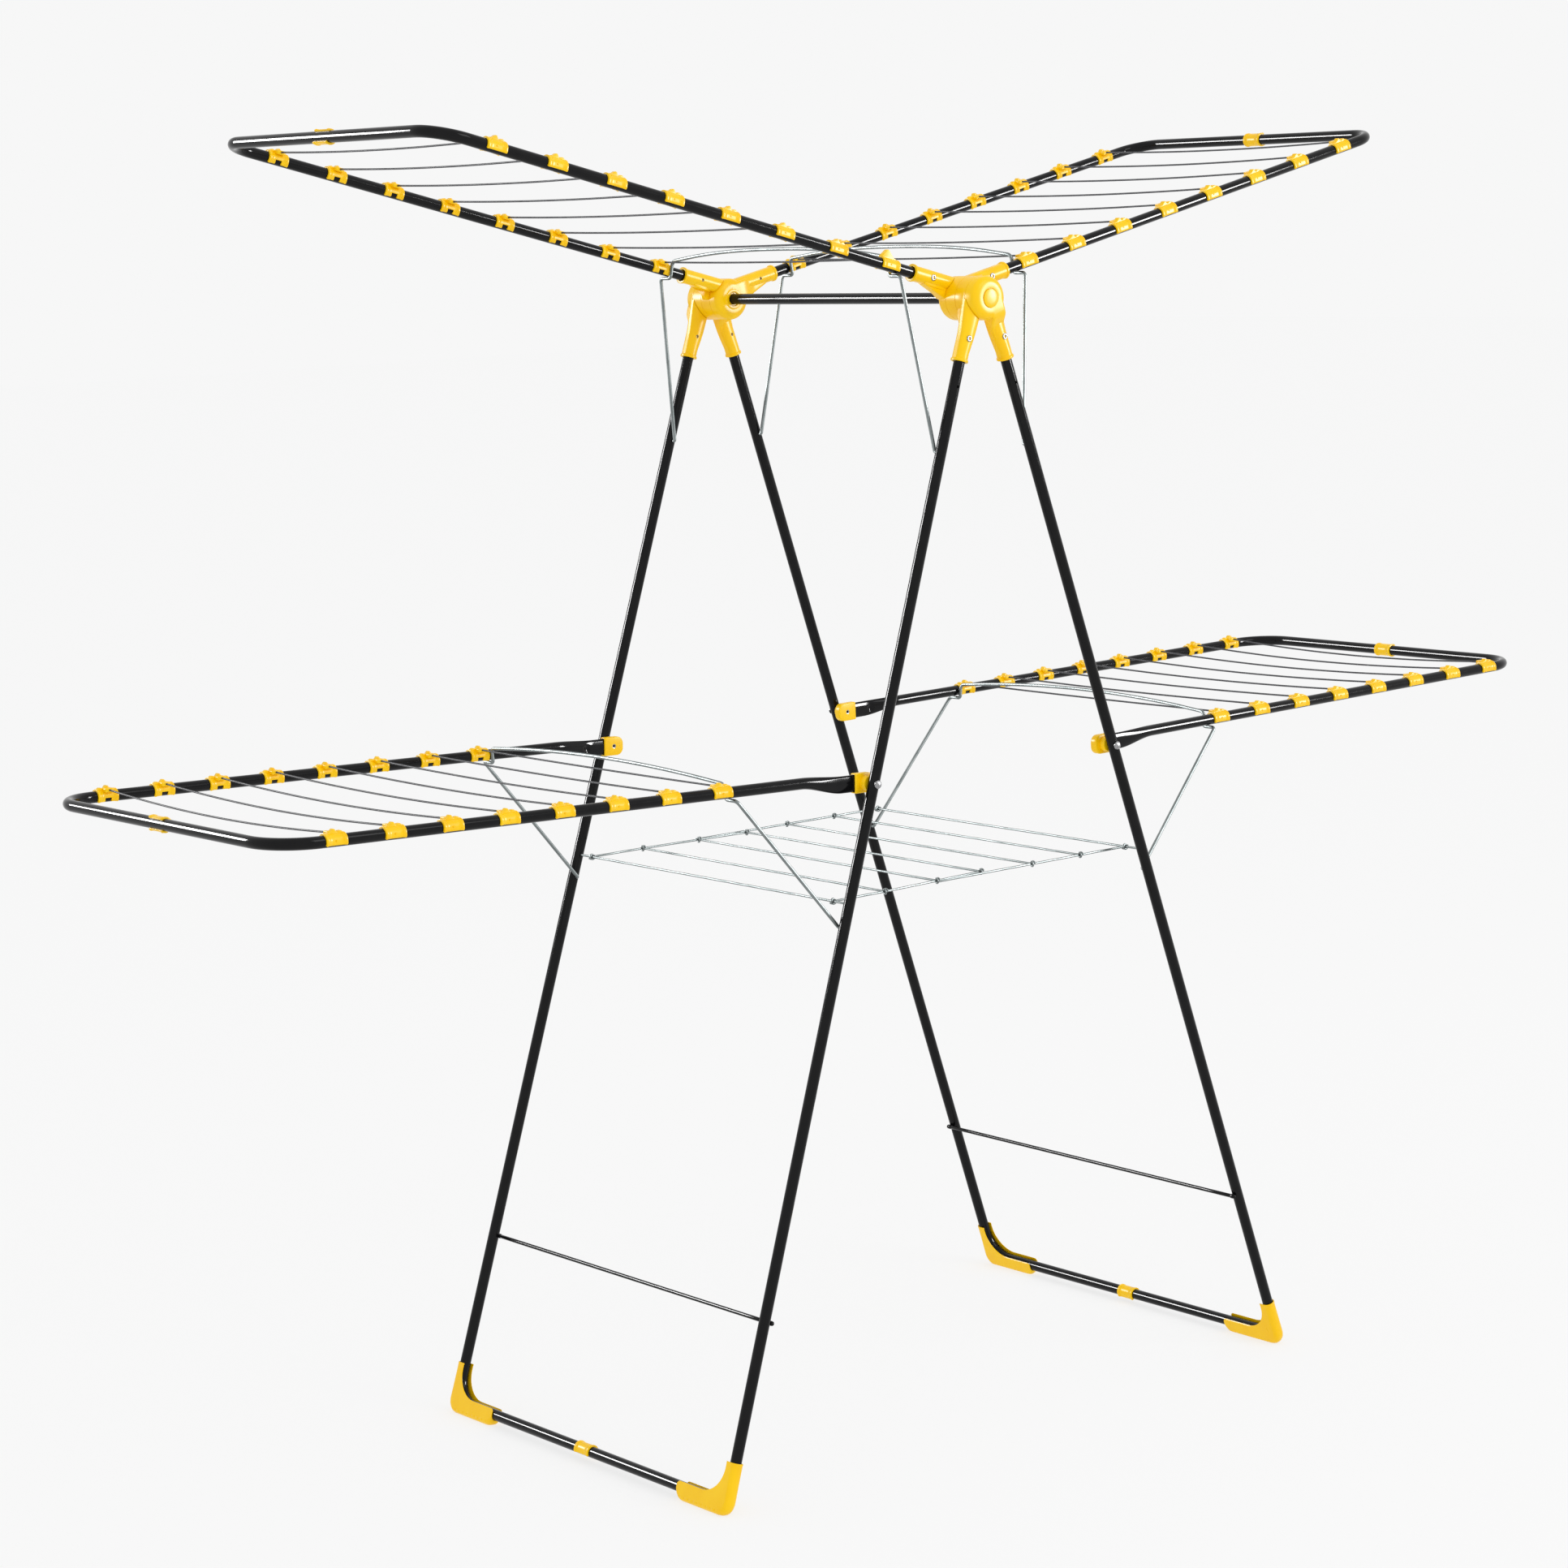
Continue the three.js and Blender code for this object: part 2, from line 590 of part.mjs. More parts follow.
// ---------------------------------------------------------------- stays
// One wire: foot, up to the rail, under it, up its inner side, bowed across and back down.
function stay(plane, side, s, railY, footAt, bow) {
  const foot = legPoint(side, footAt);
  const wall = legHalfWidth(footAt) - TUBE_R;
  const footY = wall - STAY_R - 1.6;
  const outerY = railY + STAY_BESIDE;
  const innerY = railY - STAY_BESIDE;
  const under = plane.at(s, 0, -STAY_UNDER);
  const half = [
    new THREE.Vector3(foot.x, wall - 0.4, foot.z),
    new THREE.Vector3(foot.x, footY, foot.z),
    new THREE.Vector3(under.x, outerY, under.z),
    new THREE.Vector3(under.x, innerY, under.z),
    plane.at(s + bow.lean * 0.3, innerY, bow.start),
  ];
  const bends = [0, 2.4, 4, 3.5, 6];
  for (const t of [0.78, 0.42]) {
    half.push(plane.at(
      s + bow.lean * (1 - 0.7 * t * t), innerY * t, bow.start + (bow.top - bow.start) * (1 - t ** bow.power)));
    bends.push(0);
  }
  const top = plane.at(s + bow.lean, 0, bow.top);
  const mirrored = half.map((p) => new THREE.Vector3(p.x, -p.y, p.z)).reverse();
  const route = new Route(
    [...half, top, ...mirrored], [...bends, 0, ...bends.slice().reverse()], 2);
  return geometryOf(solid(sweep(route, STAY_R, 6)));
}

// ---------------------------------------------------------------- shelf
// Each half is a pivot wire across the legs, two side wires and its cross wires.
function shelfHalf(side, sideWire, crossWires, tips) {
  const sign = signOf[side];
  const pivot = legPoint(side, SHELF_PIVOT_AT);
  const z = pivot.z;
  const reach = legHalfWidth(SHELF_PIVOT_AT) - TUBE_R + 2;
  let half = crossBar(pivot.x, z, -reach, reach, SHELF_R, 6);
  for (const end of ENDS) {
    const route = sideWire.map(([x, y]) => new THREE.Vector3(x, signOf[end] * y, z));
    const start = new THREE.Vector3(pivot.x + sign * 0.8, signOf[end] * sideWire[0][1], z);
    half = half.add(solid(sweep(new Route([start, ...route], 0), SHELF_R, 6)));
  }
  for (const [x, y] of crossWires) {
    half = half.add(crossBar(x, z, -y, y, SHELF_R, 6));
  }
  return geometryOf(half);
}

// ---------------------------------------------------------------- the rack
const rack = new THREE.Group();
rack.position.set(0, 0, HUB_HEIGHT);

function addPiece(name, geometry, look) {
  const mesh = new THREE.Mesh(geometry, look);
  mesh.name = name;
  rack.add(mesh);
}

for (const side of SIDES) {
  addPiece(`${side}_leg_frame`, legFrame(side), blackTube);
  addPiece(`${side}_cross_rod`, crossRod(side), blackTube);
  addPiece(`${side}_leg_bar_clip`, barClip(legPlane[side], side, LEG_LENGTH), yellowPlastic);
  for (const end of ENDS) {
    addPiece(`${side}_${end}_foot_shoe`, footShoe(side, end), yellowPlastic);
  }
}

addPiece('axle_tube', axle(), blackTube);
for (const end of ENDS) {
  addPiece(`${end}_hub_end_cap`, hubEndCap(end), yellowPlastic);
  HUB_ORDER[end].forEach(([side, kind], index) => {
    addPiece(`${side}_${kind}_${end}_hub_socket`, hubSocket(side, kind, end, index), yellowPlastic);
    addPiece(`${side}_${kind}_${end}_hub_rivet`, hubRivet(side, kind, end), rivetSteel);
  });
}

for (const side of SIDES) {
  const upper = upperPlane[side];
  const lower = lowerPlane[side];
  addPiece(`${side}_upper_wing_frame`, upperFrame(side), blackTube);
  addPiece(`${side}_upper_wing_bar_clip`, barClip(upper, side, UPPER_REACH), yellowPlastic);
  addPiece(`${side}_upper_wing_lines`, lineSet(
    upper, side, UPPER_RAIL_Y, UPPER_CLIP_FIRST, UPPER_CLIP_PITCH, LINE_SAG.upper), greyLine);
  addPiece(`${side}_upper_stay`, stay(
    upper, side, UPPER_STAY_AT, UPPER_RAIL_Y, UPPER_FOOT_AT, UPPER_BOW),
  brightWire);

  addPiece(`${side}_lower_wing_frame`, lowerFrame(side), blackTube);
  addPiece(`${side}_lower_wing_bar_clip`, barClip(lower, side, LOWER_REACH), yellowPlastic);
  addPiece(`${side}_lower_wing_lines`, lineSet(
    lower, side, LOWER_RAIL_Y, LOWER_CLIP_FIRST, LOWER_CLIP_PITCH, LINE_SAG.lower), greyLine);
  addPiece(`${side}_lower_stay`, stay(
    lower, side, LOWER_STAY_AT, LOWER_RAIL_Y, LOWER_FOOT_AT, LOWER_BOW),
  brightWire);
  for (const end of ENDS) {
    addPiece(`${side}_${end}_pivot_cap`, pivotCap(side, end), yellowPlastic);
    addPiece(`${side}_${end}_pivot_rivet`, pivotRivet(side, end), rivetSteel);
  }
}

addPiece('left_shelf_half', shelfHalf(
  'left', [[-247.4, 243.5], [-163.6, 243.2], [-73.5, 238], [4.6, 233]],
  [[-163.6, 243.2], [-73.5, 238], [4.6, 233]]), brightWire);
addPiece('right_shelf_half', shelfHalf(
  'right', [[247.4, 243], [-76, 243]], [[167.4, 243], [83.4, 243]]), brightWire);

export default rack;
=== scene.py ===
"""Looks of the folding clothes drying rack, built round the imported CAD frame.

Metres, +Z up, X along the wings, Y along the axle. Places come from the frame, which gives the
joints' positions and the nodes' boxes, and from the sizes named here. They follow the CAD's, a
few of them slightly less, so that no piece leaves the CAD's outline.
"""

import json
import math

import bmesh
import bpy
from mathutils import Matrix, Quaternion, Vector


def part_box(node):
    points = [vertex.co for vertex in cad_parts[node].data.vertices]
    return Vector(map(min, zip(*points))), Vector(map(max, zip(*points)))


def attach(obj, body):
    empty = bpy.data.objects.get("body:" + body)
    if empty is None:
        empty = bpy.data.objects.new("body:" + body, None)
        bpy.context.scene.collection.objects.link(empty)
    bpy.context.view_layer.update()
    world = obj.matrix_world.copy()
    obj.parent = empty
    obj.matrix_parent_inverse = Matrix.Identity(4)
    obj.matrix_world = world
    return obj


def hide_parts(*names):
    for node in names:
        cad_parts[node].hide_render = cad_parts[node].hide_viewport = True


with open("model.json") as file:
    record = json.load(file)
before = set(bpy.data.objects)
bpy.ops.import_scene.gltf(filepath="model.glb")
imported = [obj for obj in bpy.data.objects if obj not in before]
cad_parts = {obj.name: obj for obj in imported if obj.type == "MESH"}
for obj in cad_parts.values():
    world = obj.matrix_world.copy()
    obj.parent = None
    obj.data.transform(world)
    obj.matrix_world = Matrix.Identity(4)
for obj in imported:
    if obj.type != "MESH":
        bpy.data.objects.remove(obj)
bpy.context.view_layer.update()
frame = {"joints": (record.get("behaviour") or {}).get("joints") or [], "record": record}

MM = 0.001
SIDES = ("left", "right")
ENDS = ("near", "far")
SIGN = {"left": -1, "right": 1, "near": -1, "far": 1}

TUBE_R = 7 * MM
STAY_R = 2.25 * MM
ROD_R = 2.5 * MM
SHELF_R = 1.45 * MM
LINE_R = 1.15 * MM
BORE_R = TUBE_R + 0.12 * MM  # of the clips
TUBE_SIDES = 36
STAY_UNDER = 9.8 * MM  # stay wire below the rail's axis
STAY_BESIDE = 10.4 * MM  # and beside it
# The bow of a stay: height at its ends and middle, shift along the wing, fullness.
UPPER_BOW = (12.5 * MM, 25 * MM, 5 * MM, 2.4)
LOWER_BOW = (9 * MM, 20 * MM, 8 * MM, 2)
# How far the first and the last line of a wing sag.
UPPER_SAG = (2 * MM, 4 * MM)
LOWER_SAG = (1 * MM, 8 * MM)
LINE_LEVEL = 8.4 * MM  # lines above the rail's axis
LINE_SHORT = 8 * MM  # lines end this far inside the rail's axis
LEG_BEND = 38 * MM
UPPER_BEND = 42 * MM
LOWER_BEND = 55 * MM
CLIP_LENGTH = 27 * MM
BAR_CLIP_LENGTH = 28 * MM
LINES_PER_WING = 8
GAP = 0.3 * MM

BODY_OF = {
    node: body for body, nodes in frame["record"]["behaviour"]["bodies"].items() for node in nodes
}
JOINT_AT = {joint["name"]: Vector(joint["pos_m"]) for joint in frame["joints"]}
HUB = JOINT_AT["leg_fold"]


# ---------- mesh helpers
def new_object(name, verts, faces, sharp=40):
    mesh = bpy.data.meshes.new(name)
    mesh.from_pydata([tuple(v) for v in verts], [], faces)
    mesh.validate()
    obj = bpy.data.objects.new(name, mesh)
    bpy.context.scene.collection.objects.link(obj)
    tidy_normals(obj, sharp)
    return obj


def tidy_normals(obj, sharp=40):
    bm = bmesh.new()
    bm.from_mesh(obj.data)
    bmesh.ops.remove_doubles(bm, verts=bm.verts, dist=1e-6)
    bmesh.ops.recalc_face_normals(bm, faces=bm.faces)
    bm.to_mesh(obj.data)
    bm.free()
    obj.data.polygons.foreach_set("use_smooth", [True] * len(obj.data.polygons))
    obj.data.set_sharp_from_angle(angle=math.radians(sharp))
    obj.data.update()


def apply_modifiers(obj, sharp=40):
    graph = bpy.context.evaluated_depsgraph_get()
    mesh = bpy.data.meshes.new_from_object(obj.evaluated_get(graph))
    old = obj.data
    obj.modifiers.clear()
    obj.data = mesh
    mesh.name = obj.name
    bpy.data.meshes.remove(old)
    tidy_normals(obj, sharp)


def boolean(obj, tools, operation, sharp=40):
    """Joins or cuts obj with each tool, which is then removed."""
    for tool in tools:
        modifier = obj.modifiers.new("cut", "BOOLEAN")
        modifier.operation = operation
        modifier.solver = "EXACT"
        modifier.object = tool
        apply_modifiers(obj, sharp)
        bpy.data.objects.remove(tool, do_unlink=True)


def join(name, objects, sharp=40):
    """One object with the meshes of several."""
    bm = bmesh.new()
    for obj in objects:
        obj.data.transform(obj.matrix_world)
        bm.from_mesh(obj.data)
        bpy.data.objects.remove(obj, do_unlink=True)
    mesh = bpy.data.meshes.new(name)
    bm.to_mesh(mesh)
    bm.free()
    joined = bpy.data.objects.new(name, mesh)
    bpy.context.scene.collection.objects.link(joined)
    mesh.polygons.foreach_set("use_smooth", [True] * len(mesh.polygons))
    mesh.set_sharp_from_angle(angle=math.radians(sharp))
    return joined


def skin_rings(rings):
    """Vertices and faces of a skin over rings of equal length, with flat ends."""
    count = len(rings[0])
    faces = []
    for i in range(len(rings) - 1):
        for k in range(count):
            a = i * count + k
            b = i * count + (k + 1) % count
            faces.append((a, b, b + count, a + count))
    faces.append(tuple(range(count))[::-1])
    last = (len(rings) - 1) * count
    faces.append(tuple(range(last, last + count)))
    verts = [v for ring in rings for v in ring]
    return verts, faces


class Path:
    """Straight runs joined by round bends: points and headings along them."""

    def __init__(self, corners, bends, steps=10, spacing=None):
        corners = [Vector(c) for c in corners]
        if not isinstance(bends, (list, tuple)):
            bends = [bends] * len(corners)
        self.points = [corners[0]]
        self.headings = [(corners[1] - corners[0]).normalized()]
        for i in range(1, len(corners) - 1):
            self.corner(corners[i - 1], corners[i], corners[i + 1], bends[i], steps)
        self.add(corners[-1], (corners[-1] - corners[-2]).normalized())
        if spacing:
            self.divide(spacing)

    def add(self, point, heading):
        if (point - self.points[-1]).length > 1e-6:
            self.points.append(point)
            self.headings.append(heading)

    def corner(self, before, corner, after, radius, steps):
        into = (corner - before).normalized()
        out = (after - corner).normalized()
        turn = into.angle(out, 0)
        if turn < math.radians(3) or radius <= 0:
            self.add(corner, (into + out).normalized())
            return
        axis = into.cross(out).normalized()
        start = corner - into * radius * math.tan(turn / 2)
        centre = start + axis.cross(into) * radius
        for k in range(steps + 1):
            spin = Quaternion(axis, turn * k / steps)
            self.add(centre + spin @ (start - centre), spin @ into)

    def divide(self, spacing):
        """Adds stations so that no run is longer than spacing."""
        points = [self.points[0]]
        headings = [self.headings[0]]
        for i in range(1, len(self.points)):
            a, b = self.points[i - 1], self.points[i]
            parts = max(1, math.ceil((b - a).length / spacing))
            for k in range(1, parts + 1):
                points.append(a.lerp(b, k / parts))
                headings.append(self.headings[i - 1].lerp(self.headings[i], k / parts).normalized())
        self.points, self.headings = points, headings


def circle(centre, across, up, radius, sides):
    ring = []
    for k in range(sides):
        angle = 2 * math.pi * k / sides
        ring.append(centre + across * radius * math.cos(angle) + up * radius * math.sin(angle))
    return ring


def path_rings(path, radius, sides):
    """Round sections along a path, carried without twist. radius may be a list."""
    heading = path.headings[0]
    across = heading.orthogonal().normalized()
    rings = []
    for i, (point, now) in enumerate(zip(path.points, path.headings)):
        across = heading.rotation_difference(now) @ across
        across = (across - now * across.dot(now)).normalized()
        heading = now
        r = radius[i] if isinstance(radius, list) else radius
        rings.append(circle(point, across, now.cross(across), r, sides))
    return rings


def tube(name, path, radius, sides=TUBE_SIDES):
    return new_object(name, *skin_rings(path_rings(path, radius, sides)))


def wire(name, path, radius, sides=14):
    """A round wire with softly rounded ends."""
    first, last = path.points[0], path.points[-1]
    into, out = path.headings[0], path.headings[-1]
    points = list(path.points)
    taper = radius * 0.5
    points[0] = first + into * taper
    points[-1] = last - out * taper
    path.points = [first, first + into * taper * 0.3] + points + [last - out * taper * 0.3, last]
    path.headings = [into, into] + path.headings + [out, out]
    tip = [radius * 0.55, radius * 0.85]
    return tube(name, path, tip + [radius] * len(points) + tip[::-1], sides)


def lathe(name, profile, centre, axis, steps=40, sharp=35):
    """A turned shape: profile is (distance along the axis, radius), closed on the axis."""
    axis = Vector(axis).normalized()
    across = axis.orthogonal().normalized()
    up = axis.cross(across)
    rings = []
    for along, radius in profile:
        middle = Vector(centre) + axis * along
        rings.append(circle(middle, across, up, max(radius, 1e-5), steps))
    return new_object(name, *skin_rings(rings), sharp)


def rod(name, a, b, radius, steps=32):
    a, b = Vector(a), Vector(b)
    return lathe(name, [(0, radius), ((b - a).length, radius)], a, b - a, steps)


def in_metres(points):
    """A profile or outline given in millimetres."""
    return [(a * MM, b * MM) for a, b in points]


def arc(centre, radius, start, end, steps):
    """Points of a flat arc, angles in degrees."""
    points = []
    for k in range(steps + 1):
        angle = math.radians(start + (end - start) * k / steps)
        points.append((centre[0] + radius * math.cos(angle), centre[1] + radius * math.sin(angle)))
    return points


def extrude(name, outline, place, low, high, bevel=0, segments=4):
    """A flat outline pushed from low to high. place(u, v, w) gives the point in space."""
    rings = [[place(u, v, w) for u, v in outline] for w in (low, high)]
    obj = new_object(name, *skin_rings(rings))
    if bevel:
        modifier = obj.modifiers.new("round", "BEVEL")
        modifier.width = bevel
        modifier.segments = segments
        modifier.limit_method = "ANGLE"
        modifier.angle_limit = math.radians(50)
        apply_modifiers(obj)
    return obj


def smoothstep(low, high, value):
    t = min(1, max(0, (value - low) / (high - low)))
    return t * t * (3 - 2 * t)


def lerp(a, b, t):
    return a + (b - a) * t


# ---------- slopes
class Slope:
    """A plane through Y. at(s, y, w) is s along the slope from x = 0, y across, w off it."""

    def __init__(self, side, point, angle):
        sign = SIGN[side]
        self.along = Vector((sign * math.cos(angle), 0, math.sin(angle)))
        self.normal = Vector((-sign * math.sin(angle), 0, math.cos(angle)))
        flat = Vector((point[0], 0, point[2]))
        self.origin = flat - self.along * (flat.x / self.along.x)

    def at(self, s, y=0, w=0):
        return self.origin + self.along * s + self.normal * w + Vector((0, y, 0))

    def find(self, point):
        from_origin = Vector(point) - self.origin
        return from_origin.dot(self.along), from_origin.dot(self.normal)


def leg_slope(side):
    """Both leg pivots, the wing's and the shelf's, lie on the leg's axis."""
    high = JOINT_AT[f"{side}_wing_fold"]
    low = JOINT_AT[f"{side}_shelf_fold"]
    angle = -math.atan2(high.z - low.z, abs(low.x) - abs(high.x))
    return Slope(side, high, angle)


def wing_slope(side, level):
    """The rail passes above its stay's pivot and through the end bar."""
    low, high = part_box(f"{side}_{level}_wing_frame")
    pivot = JOINT_AT[f"{side}_{level}_stay_fold"]
    end_x = (low.x if side == "left" else high.x) - SIGN[side] * TUBE_R
    end_z = high.z - TUBE_R
    span = math.hypot(end_x - pivot.x, end_z - pivot.z)
    angle = math.atan2(end_z - pivot.z, abs(end_x - pivot.x)) - math.asin(STAY_UNDER / span)
    slope = Slope(side, pivot, angle)
    slope.origin = slope.origin + slope.normal * STAY_UNDER
    slope.origin = slope.origin - slope.along * (slope.origin.x / slope.along.x)
    slope.reach = slope.find((end_x, 0, end_z))[0]
    slope.rail_y = high.y - TUBE_R
    return slope


LEG = {side: leg_slope(side) for side in SIDES}
UPPER = {side: wing_slope(side, "upper") for side in SIDES}
LOWER = {side: wing_slope(side, "lower") for side in SIDES}
WINGS = {"upper": UPPER, "lower": LOWER}


def hub_level_s(side):
    """Distance down the leg slope at axle height."""
    slope = LEG[side]
    return (HUB.z - slope.origin.z) / slope.along.z


LEG_TOP = {side: hub_level_s(side) for side in SIDES}
LEG_BOX_LOW, LEG_BOX_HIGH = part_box("left_leg_frame")
LEG_LENGTH = (HUB.z - (LEG_BOX_LOW.z + TUBE_R)) / -LEG["left"].along.z
# The legs splay from the first half width, at axle height, to the second.
LEG_Y_TOP = 265.2 * MM
LEG_Y_FOOT = LEG_BOX_HIGH.y - TUBE_R


def leg_at(side, s, y=0, w=0):
    """s is measured down the leg from axle height."""
    return LEG[side].at(s + LEG_TOP[side], y, w)


def leg_half_width(s):
    return lerp(LEG_Y_TOP, LEG_Y_FOOT, s / LEG_LENGTH)


# ---------- materials
def node_material(name):
    material = bpy.data.materials.new(name)
    material.use_nodes = True
    nodes = material.node_tree.nodes
    return material, nodes, material.node_tree.links, nodes["Principled BSDF"]


def noise_node(nodes, links, scale, detail=3, stretch=(1, 1, 1)):
    place = nodes.new("ShaderNodeTexCoord")
    mapping = nodes.new("ShaderNodeMapping")
    mapping.inputs["Scale"].default_value = stretch
    texture = nodes.new("ShaderNodeTexNoise")
    texture.inputs["Scale"].default_value = scale
    texture.inputs["Detail"].default_value = detail
    links.new(place.outputs["Object"], mapping.inputs["Vector"])
    links.new(mapping.outputs["Vector"], texture.inputs["Vector"])
    return texture


def ramp_node(nodes, links, source, stops):
    ramp = nodes.new("ShaderNodeValToRGB")
    while len(ramp.color_ramp.elements) < len(stops):
        ramp.color_ramp.elements.new(0.5)
    for element, (position, colour) in zip(ramp.color_ramp.elements, stops):
        element.position = position
        element.color = (*colour, 1)
    links.new(source, ramp.inputs["Fac"])
    return ramp


def spread_node(nodes, links, source, low, high):
    spread = nodes.new("ShaderNodeMapRange")
    spread.inputs["To Min"].default_value = low
    spread.inputs["To Max"].default_value = high
    links.new(source, spread.inputs["Value"])
    return spread


def bump_node(nodes, links, source, distance, strength, shader):
    bump = nodes.new("ShaderNodeBump")
    bump.inputs["Distance"].default_value = distance
    bump.inputs["Strength"].default_value = strength
    links.new(source, bump.inputs["Height"])
    links.new(bump.outputs["Normal"], shader.inputs["Normal"])


def surface(name, broad, fine, stops, rough, rough_from, bump, inputs):
    """A material whose colour follows a broad noise, and its bumps a fine one. A noise is
    (scale, detail, stretch), bump is (distance, strength)."""
    material, nodes, links, shader = node_material(name)
    noise = {
        "broad": noise_node(nodes, links, *broad).outputs["Fac"],
        "fine": noise_node(nodes, links, *fine).outputs["Fac"],
    }
    colour = ramp_node(nodes, links, noise["broad"], stops)
    links.new(colour.outputs["Color"], shader.inputs["Base Color"])
    roughness = spread_node(nodes, links, noise[rough_from], *rough)
    links.new(roughness.outputs["Result"], shader.inputs["Roughness"])
    bump_node(nodes, links, noise["fine"], *bump, shader)
    for key, value in inputs.items():
        shader.inputs[key].default_value = value
    return material


MATERIALS = {
    # Gloss black baked paint: faint orange peel and dusting of colour.
    "black_tube": surface(
        "black_enamel", (60, 4), (900, 2),
        [(0.3, (0.003, 0.003, 0.0035)), (0.7, (0.005, 0.005, 0.0055))],
        (0.07, 0.13), "broad", (0.00001, 0.12), {"Specular IOR Level": 0.17}),
    # Glossy moulded plastic: slight flow variation and a fine moulded skin.
    "yellow_plastic": surface(
        "yellow_plastic", (35, 3, (1, 1, 0.4)), (1400, 2),
        [(0.3, (0.95, 0.55, 0.001)), (0.7, (0.99, 0.62, 0.002))],
        (0.24, 0.36), "broad", (0.00003, 0.3), {"Specular IOR Level": 0.22}),
    # Zinc-plated wire with drawing marks and a little cloudiness.
    "bright_wire": surface(
        "bright_wire", (45, 4), (700, 3, (1, 0.15, 1)),
        [(0.3, (0.17, 0.19, 0.19)), (0.7, (0.26, 0.285, 0.285))],
        (0.36, 0.5), "fine", (0.00004, 0.3), {"Metallic": 1}),
    # Dark plastic-coated drying line with shallow ribs along its length.
    "line_and_clips": surface(
        "line_plastic", (50, 3), (500, 2, (1, 0.2, 1)),
        [(0.3, (0.03, 0.031, 0.036)), (0.7, (0.06, 0.062, 0.07))],
        (0.35, 0.55), "fine", (0.00005, 0.4), {"Specular IOR Level": 0.2}),
    # Bright pressed steel with fine scratches, which its colour follows too.
    "rivet_steel": surface(
        "rivet_steel", (800, 3, (1, 1, 0.1)), (800, 3, (1, 1, 0.1)),
        [(0.35, (0.24, 0.24, 0.25)), (0.65, (0.36, 0.36, 0.36))],
        (0.25, 0.4), "fine", (0.00003, 0.3), {"Metallic": 1}),
}


def settle(obj, node, slot, look=None):
    """Gives a piece its material and its body, and hides the CAD node it stands for. look is given
    where the material is another slot's."""
    obj.data.materials.clear()
    obj.data.materials.append(MATERIALS[look or slot])
    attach(obj, BODY_OF[node])
    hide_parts(node)


# ---------- tubes
TUBE_START = 42 * MM  # inside the hub arms, from the axle
LEG_HOLE_AT = 110 * MM  # a small punched hole, down the leg
LEG_HOLE_R = 1.9 * MM


def leg_tube(side):
    top, foot = leg_half_width(TUBE_START), LEG_Y_FOOT
    corners = [
        leg_at(side, TUBE_START, -top), leg_at(side, LEG_LENGTH, -foot),
        leg_at(side, LEG_LENGTH, foot), leg_at(side, TUBE_START, top),
    ]
    obj = tube(f"{side}_leg_tube", Path(corners, LEG_BEND, 14), TUBE_R)
    holes = []
    for end in ENDS:
        outward = Vector((0, SIGN[end] * 12 * MM, 0))
        axis = leg_at(side, LEG_HOLE_AT, SIGN[end] * leg_half_width(LEG_HOLE_AT))
        start = axis + outward * 0.4
        holes.append(rod("hole", start, start + outward, LEG_HOLE_R, 20))
    boolean(obj, holes, "DIFFERENCE")
    settle(obj, f"{side}_leg_frame", "black_tube")


def cross_rod(side):
    """The thin rod between the legs, with a pressed bead at each leg."""
    low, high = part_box(f"{side}_cross_rod")
    x, z = (low.x + high.x) / 2, (low.z + high.z) / 2
    path = Path([(x, low.y, z), (x, high.y, z)], 0, spacing=0.05)
    parts = [wire("rod", path, ROD_R, 20)]
    half_bead = [(-5.2, 0), (-4.8, 1.4), (-3.4, 2.7), (-1.5, 3.1)]
    bead = in_metres(half_bead + [(-a, r) for a, r in reversed(half_bead)])
    for sign in (-1, 1):
        y = sign * (high.y - 4 * MM)
        parts.append(lathe("bead", bead, (x, y, z), (0, 1, 0), 20))
    settle(join(f"{side}_stretcher_rod", parts), f"{side}_cross_rod", "black_tube")


def axle():
    low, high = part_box("axle_tube")
    path = Path([(HUB.x, low.y, HUB.z), (HUB.x, high.y, HUB.z)], 0)
    settle(tube("axle", path, TUBE_R), "axle_tube", "black_tube")


def upper_tube(side):
    slope = UPPER[side]
    y = slope.rail_y
    corners = [slope.at(TUBE_START, -y), slope.at(slope.reach, -y),
               slope.at(slope.reach, y), slope.at(TUBE_START, y)]
    obj = tube(f"{side}_upper_wing_tube", Path(corners, UPPER_BEND, 14), TUBE_R)
    settle(obj, f"{side}_upper_wing_frame", "black_tube")


# Along a lower rail from its pivot: pressed flat up to the first, round from the second.
FLAT_FROM = 32 * MM
FLAT_TO = 94 * MM
FLAT_PAST = 10 * MM  # the flat end goes past the pivot
FLAT_NARROW = 0.6  # thickness lost
FLAT_WIDEN = 0.5  # height gained
FLAT_STATIONS = 400  # fine stations on a rail, for a smooth press
DIMPLE_AT = 43 * MM
DIMPLE_DEPTH = 2.2 * MM
DIMPLE_R = (1.5 * MM, 6 * MM)  # its floor and its rim
CAP_THICK = 10 * MM  # along Y


def cap_middle_y():
    """Middle of the flattened tube end, from the pivot cap's inner face."""
    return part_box("left_far_pivot_cap")[0].y + CAP_THICK / 2


def add_flat_stations(path, slope, hinge_s):
    """Adds fine stations to both rails near the pivots. The end bar keeps its own."""
    points, headings = [path.points[0]], [path.headings[0]]
    for i in range(1, len(path.points)):
        a, b = path.points[i - 1], path.points[i]
        if (b - a).length > 0.2 and slope.find((a + b) / 2)[0] < slope.reach - 0.05:
            for k in range(1, FLAT_STATIONS):
                point = a.lerp(b, k / FLAT_STATIONS)
                if slope.find(point)[0] - hinge_s < FLAT_TO + 10 * MM:
                    points.append(point)
                    headings.append(path.headings[i - 1])
        points.append(b)
        headings.append(path.headings[i])
    path.points, path.headings = points, headings


